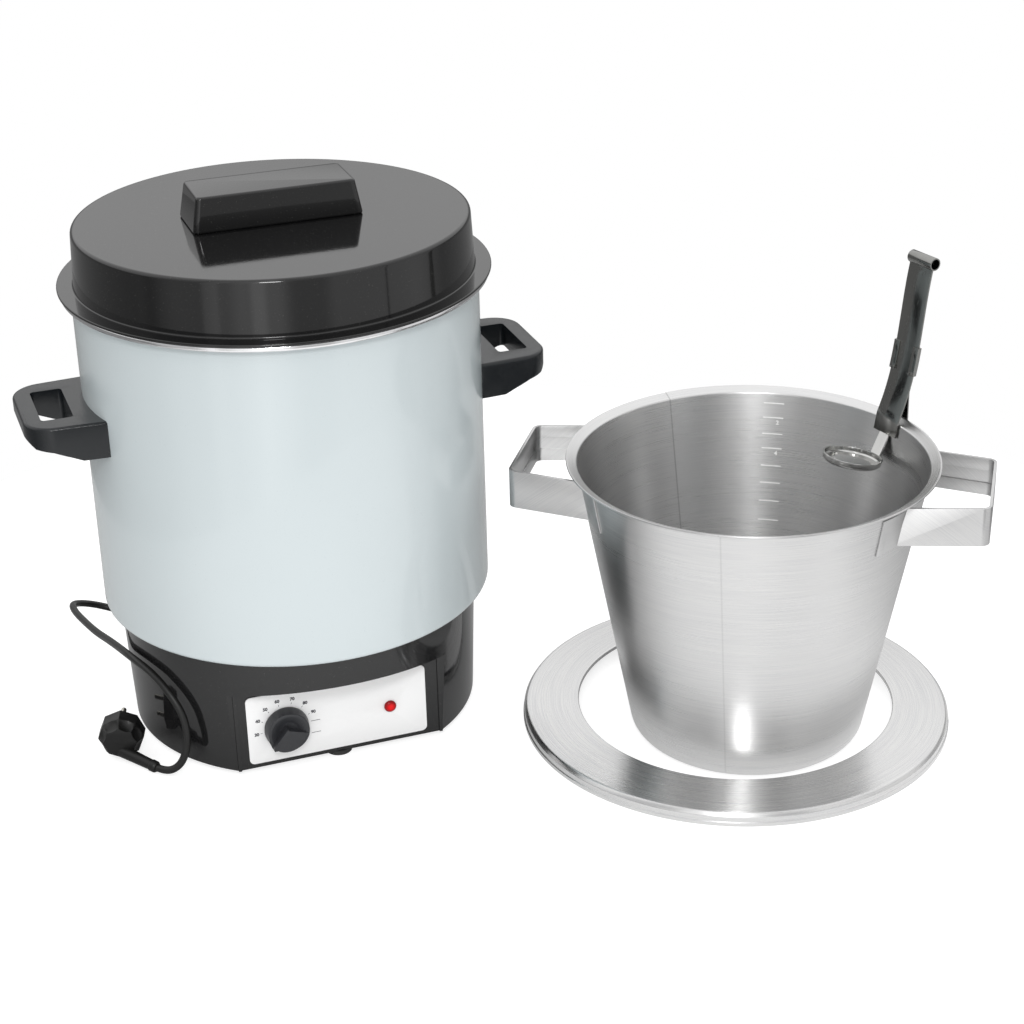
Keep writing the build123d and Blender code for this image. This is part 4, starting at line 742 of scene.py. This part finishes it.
# the loops that show, from behind the base to the plug's sleeve
LEAD = [
    (22, 207.7, 3.5), (-18, 204.5, 3.5), (-60, 204.5, 3.5), (-94, 203, 3.5), (-120, 210, 3.5),
    (-139, 220.5, 4.5), (-151.5, 227, 8), (-165, 229.5, 13), (-178, 226.5, 18.5), (-187, 217, 24),
    (-190.5, 202, 29), (-190, 178, 33), (-186.5, 140, 41), (-182, 96, 51), (-177, 52, 64),
    (-173, 8, 77), (-169, -36, 89), (-157, -72, 89), (-146, -93, 76), (-138, -105, 59),
    (-136.5, -109, 39), (-140, -110, 21), (-147, -110, 9.5), (-157.8, -105.8, 4), RELIEF_TIP,
]


def coil_point(quarters, swell=1.0):
    """A place on the flat coil, whose outer turns run back over its inner ones."""
    angle = math.radians(-90 + 90 * quarters)
    radius = (COIL_R + COIL_PITCH * abs(quarters - COIL_TURN_BACK) / 4) * swell
    height = CORD_R + COIL_PITCH * min(1.0, max(0.0, (quarters - 4) / 2))
    return COIL_MIDDLE + Vector((radius * math.cos(angle), radius * math.sin(angle), height))


def make_lead():
    """The whole lead outside the housing: gland, coil behind the base, and the loops to the plug."""
    swell = 1 / math.cos(math.pi / TURN_POINTS)
    count = COIL_QUARTERS * TURN_POINTS // 4
    coil = [coil_point(COIL_QUARTERS * (count - k) / count, swell) for k in range(count + 1)]
    route = [GLAND_TIP, (24, 208, 20), (23.4, 227, 11.1), (23.9, 245, 11.1), *coil, (62, 208.8, 3.5), *LEAD]
    begin()
    line = bpy.data.curves.new("mains_lead", "CURVE")
    line.dimensions = "3D"
    line.bevel_depth = CORD_R * MM
    line.bevel_resolution = 5
    line.resolution_u = 8
    line.use_fill_caps = True
    spline = line.splines.new("NURBS")
    spline.points.add(len(route) - 1)
    for point, place in zip(spline.points, route):
        point.co = (*from_kettle(*place), 1)
    spline.order_u = 3
    spline.use_endpoint_u = True
    lead = add_object("mains_lead", line)
    rubber = rubber_finish("lead_jacket", 0.006, 0.30)
    dress(lead, rubber, "kettle", "cord_black", "cord_at_gland", "cord_coil", "cord_lead")
    return lead


PLUG_AT = (-189, -58, 21.5)
PIN_WAY = (0.30, 0.95, 0.06)
PIN_SPREAD = 19
PLUG_FACE = 11.5


def make_plug():
    """An angled two-pin plug: eight-sided body with finger hollows, a sleeve for the lead, and two round pins.
    """
    black = rubber_finish("plug_moulding", 0.005, 0.28)
    body = prism("body", ring_of(21, 0, 315, 8), -2.3, PLUG_FACE)
    pick_faces(body, lambda centre: centre.z < -0.00229)
    bpy.ops.mesh.extrude_region_move(TRANSFORM_OT_translate={"value": (0, 0, -9.2 * MM)})
    bpy.ops.transform.resize(value=(0.74, 0.74, 1), center_override=(0, 0, -11.5 * MM))
    bpy.ops.object.mode_set(mode="OBJECT")
    for side in (0, 1, 2, 5, 6, 7):
        way = math.radians(22.5 + 45 * side)
        out = Vector((math.cos(way) * 0.879, math.sin(way) * 0.879, -0.478))
        slope_middle = Vector((math.cos(way) * 16.9, math.sin(way) * 16.9, -6.9))
        begin()
        middle = (slope_middle + out * 12.3) * MM
        bpy.ops.mesh.primitive_uv_sphere_add(segments=48, ring_count=24, radius=0.014, location=middle)
        cut(body, bpy.context.object)
    round_edges(body, 0.35, 2, 25)
    smooth(body)
    stand(body, from_kettle(*PLUG_AT), (0, 0, 1), PIN_WAY)
    z_axis = Vector(PIN_WAY).normalized()
    x_axis = (Vector((0, 0, 1)) - z_axis * z_axis.z).normalized()
    root = from_kettle(*PLUG_AT) + (x_axis * -11 + z_axis * -7) * MM
    along = from_kettle(*RELIEF_TIP) - root
    length = along.length / MM
    outline = rounded(
        (0, 0, 0), (6.0, 0, 0), (5.3, length * 0.5, 2), (4.9, length - 7, 0.6), (5.6, length - 6.4, 0.5),
        (5.4, length - 1.6, 0.5), (4.4, length, 0.5), (0, length, 0), closed=False,
    )
    sleeve = lathe("sleeve", Vector(), outline, 40, closed=False)
    stand(sleeve, root, (0, 0, 1), along)
    plug = together("plug_moulding", [body, sleeve])
    dress(plug, black, "kettle", "cord_black", "plug_body")
    pins = []
    outline = rounded((0, 0, 0), (2.4, 0, 0), (2.4, 19, 1.4), (0, 19, 0), closed=False)
    for side in (-1, 1):
        shaft = lathe("pin", Vector(), outline, 32, closed=False)
        foot = from_kettle(*PLUG_AT) + (x_axis * PIN_SPREAD / 2 * side + z_axis * PLUG_FACE) * MM
        pins.append(stand(shaft, foot, (0, 0, 1), PIN_WAY))
    pin_set = together("contact_pins", pins)
    brass = polished_steel_finish("plated_pins", (0.62, 0.60, 0.54), 0.16)
    dress(pin_set, brass, "kettle", "pins", "plug_pins")
    return plug, pin_set


# steel vessel, ring and ladle
def make_vessel():
    """The conical vessel with its flared lip, strap handles and scale."""
    seams = ((math.radians(-125), 0.2), (math.radians(94.5), 0.5))
    steel = brushed_finish("brushed_vessel", VESSEL, 0.62, 0.19, seams=seams)
    outline = rounded(
        (0, 0, 0), (VESSEL_FOOT_R, 0, 17), (156.1, 266.6, 0.8), (164.6, 269.6, 0.4), (165.2, 270.3, 0.3),
        (164.9, VESSEL_TOP_Z, 0.3), (163.6, 271.1, 0.6), (155.4, 267.6, 2.2), (104.03, VESSEL_WALL, 15.8),
        (0, VESSEL_WALL, 0), closed=False,
    )
    wall = lathe("vessel_wall", VESSEL, outline, 192, closed=False)
    dress(wall, steel, "vessel", "stainless", "vessel_shell")
    strap = brushed_finish("brushed_strap", VESSEL, 0.60, 0.24, 1800.0)
    for side in ("left", "right"):
        handle = copy_of(f"vessel_handle_{side}", f"strap_{side}", 0.3)
        dress(handle, strap, "vessel", "stainless", f"vessel_handle_{side}")
    make_gradation()


# the scale inside the vessel: heights of its marks, and numbers under two of them
MARK_WAY = math.radians(57)
MARKS = {258.2: "", 244.5: "2", 229.1: "", 215.3: "4", 198.6: "", 182.1: "", 164.6: "", 146.1: ""}
WALL_SLOPE = (VESSEL_TOP_R - VESSEL_FOOT_R) / VESSEL_TOP_Z


def on_inner_wall(angle, height, sunk):
    """A place that lies some millimetres inside the vessel's outer face, and the way the wall faces there."""
    lean = math.atan(WALL_SLOPE)
    radius = VESSEL_FOOT_R + WALL_SLOPE * height - sunk
    place = VESSEL + Vector((radius * math.cos(angle), radius * math.sin(angle), height)) * MM
    inward = Vector((-math.cos(angle) * math.cos(lean), -math.sin(angle) * math.cos(lean), math.sin(lean)))
    return place, inward


def make_gradation():
    """Three short blocks make one mark, so that it follows the round wall."""
    marks = []
    for height, number in MARKS.items():
        radius = VESSEL_FOOT_R + WALL_SLOPE * height - VESSEL_WALL
        for sweep in (-2.4, 0.0, 2.4):
            angle = MARK_WAY + math.radians(sweep * 150 / radius)
            place, inward = on_inner_wall(angle, height, VESSEL_WALL + 0.12)
            mark = block("mark", (0.3, 6.6, 1.0), (0, 0, 0))
            along = Vector((-math.sin(angle), math.cos(angle), 0))
            marks.append(stand(mark, place, inward, along.cross(inward) * -1))
        if number:
            place, inward = on_inner_wall(MARK_WAY - math.radians(1.6), height - 4.6, VESSEL_WALL + 0.15)
            words = raised_text(number, 0.0055, 0.0002, 0.0001)
            marks.append(stand(words, place, Vector((0, 0, 1)).cross(inward), inward))
    etched = Finish("etched_marks", Metallic=0.0)
    grain = etched.noise(etched.place(), 3000.0, 2.0)
    etched.set(Base_Color=etched.mix(grain, (0.95, 0.95, 0.94), (0.88, 0.88, 0.87)))
    etched.set(Roughness=0.3 + grain * 0.1)
    dress(together("gradation", marks), etched.material, "vessel", "stainless")


def make_ring():
    """A pressed ring with a hemmed hole and a rolled outer edge."""
    steel = brushed_finish("brushed_ring", RING, 0.62, 0.17, 1500.0)
    outline = rounded(
        (146.7, 15.6, 1.2), (195.6, 12.2, 3.0), (198.2, 8.6, 2.0), (198.2, 4.0, 0.3), (199.0, 3.5, 0.3),
        (199.0, 0, 0.4), (197.0, 0, 0.3), (197.0, 9.0, 1.6), (194.8, 11.0, 1.0), (147.9, 14.35, 0.6),
        (147.9, 11.6, 0.2), (146.7, 11.6, 0.2),
    )
    dress(lathe("ring_plate", RING, outline, 192), steel, "ring", "stainless", "adapter_ring")


def make_ladle():
    # The stem and leaf get steel coloured dark: a painted reflection of the dark surroundings they mirror. The
    # dish keeps the steel's own brightness.
    polished = polished_steel_finish("polished_strip", (0.27, 0.27, 0.26), 0.07)
    bright = polished_steel_finish("bright_dish", (0.52, 0.52, 0.51), 0.04)
    for node, name, edge, finish in (
        ("ladle_strip", "ladle_stem", 0.3, polished),
        ("ladle_clip", "ladle_leaf", 0.25, polished),
        ("ladle_dish", "ladle_bowl", 0.2, bright),
    ):
        dress(copy_of(node, name, edge), finish, "ladle", "stainless", node)


def finish_the_rest(replaced):
    """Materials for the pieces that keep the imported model's own form."""
    steel = polished_steel_finish("plated_steel", (0.55, 0.55, 0.56), 0.28)
    plastic = satin_plastic_finish("inner_moulding", (0.055, 0.05, 0.045), 1800.0, 0.45)
    cover = polished_steel_finish("painted_cover", (0.22, 0.22, 0.23), 0.42)
    rubber = rubber_finish("foot_rubber", 0.02, 0.6)
    jacket = rubber_finish("inner_jacket", 0.016, 0.4)
    finishes = {
        "bottom_cover": cover, "feet": rubber, "cord_gland": rubber, "cord_tail": jacket, "wiring": jacket,
        "terminal_block": plastic, "thermostat": plastic, "lamp_body": plastic,
    }
    for name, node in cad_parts.items():
        if name not in replaced:
            node.data.materials.clear()
            node.data.materials.append(finishes.get(name, steel))


# upright strips of the surroundings: heading, half width and soft edge in degrees, and the light each one adds
STRIPS = (
    (-113, 9, 10, 0.35), (-113, 2, 4, 0.5), (-140, 3, 3, 0.35), (-85, 6, 10, -0.3), (-160, 14, 12, -0.3),
    (-38.7, 0.3, 0.3, -0.8),
)


def light_the_room():
    """White all round for the camera. The pieces see a bright ceiling, a white front and a dim back."""
    room = Backdrop("studio")
    x, y, z = room.split(room.node("ShaderNodeTexCoord", out=0))
    angle = room.maths("ARCTAN2", y, x)
    back = room.between(y, -0.35, 0.15)
    low = room.between(z, 0.12, 0.34, 1.0, 0.0)
    level = room.between(z, 0.1, 0.9, 0.9, 1.25) + back * (1.0 - low) * 0.2
    level = level - back * low * 0.62
    for centre, half_width, soft, change in STRIPS:
        level = level + room.strip(angle, centre, half_width, soft) * change
    seen = room.node("ShaderNodeLightPath")
    room.set(Color=(1, 1, 1), Strength=seen + (1.0 - seen) * level)
    bpy.context.scene.world = room.world


KEY_PLACE = Vector((-0.55, -1.91, 1.67))
KEY_AIM = Vector((0.15, -0.1, 0.2))
KEY_SIZE = (0.4, 0.4)
KEY_WATTS = 14
FLOOR_R = 0.8
FLOOR_Z = -0.0002


def light_the_studio():
    begin()
    bpy.ops.mesh.primitive_circle_add(vertices=128, radius=FLOOR_R, fill_type="NGON", location=(0, 0, FLOOR_Z))
    floor = bpy.context.object
    floor.name = "studio_floor"
    settle(floor)
    floor.data.materials.append(floor_finish())
    softbox("key", KETTLE + KEY_PLACE, KETTLE + KEY_AIM, KEY_SIZE, KEY_WATTS)
    light_the_room()
    bpy.context.scene.view_settings.view_transform = "Standard"


make_camera()
light_the_studio()
lead = make_lead()
plug, pins = make_plug()
make_kettle()
make_lid()
make_knob()
make_vessel()
make_ring()
make_ladle()
REPLACED = {
    "enamel_tank", "rim_trim", "base_housing", "side_handle_left", "side_handle_right", "fascia", "lamp_lens",
    "lid_shell", "lid_handle", "knob", "cord_at_gland", "cord_coil", "cord_lead", "plug_body", "plug_pins",
    "vessel_shell", "vessel_handle_left", "vessel_handle_right", "adapter_ring", "ladle_strip", "ladle_clip",
    "ladle_dish",
}
finish_the_rest(REPLACED)
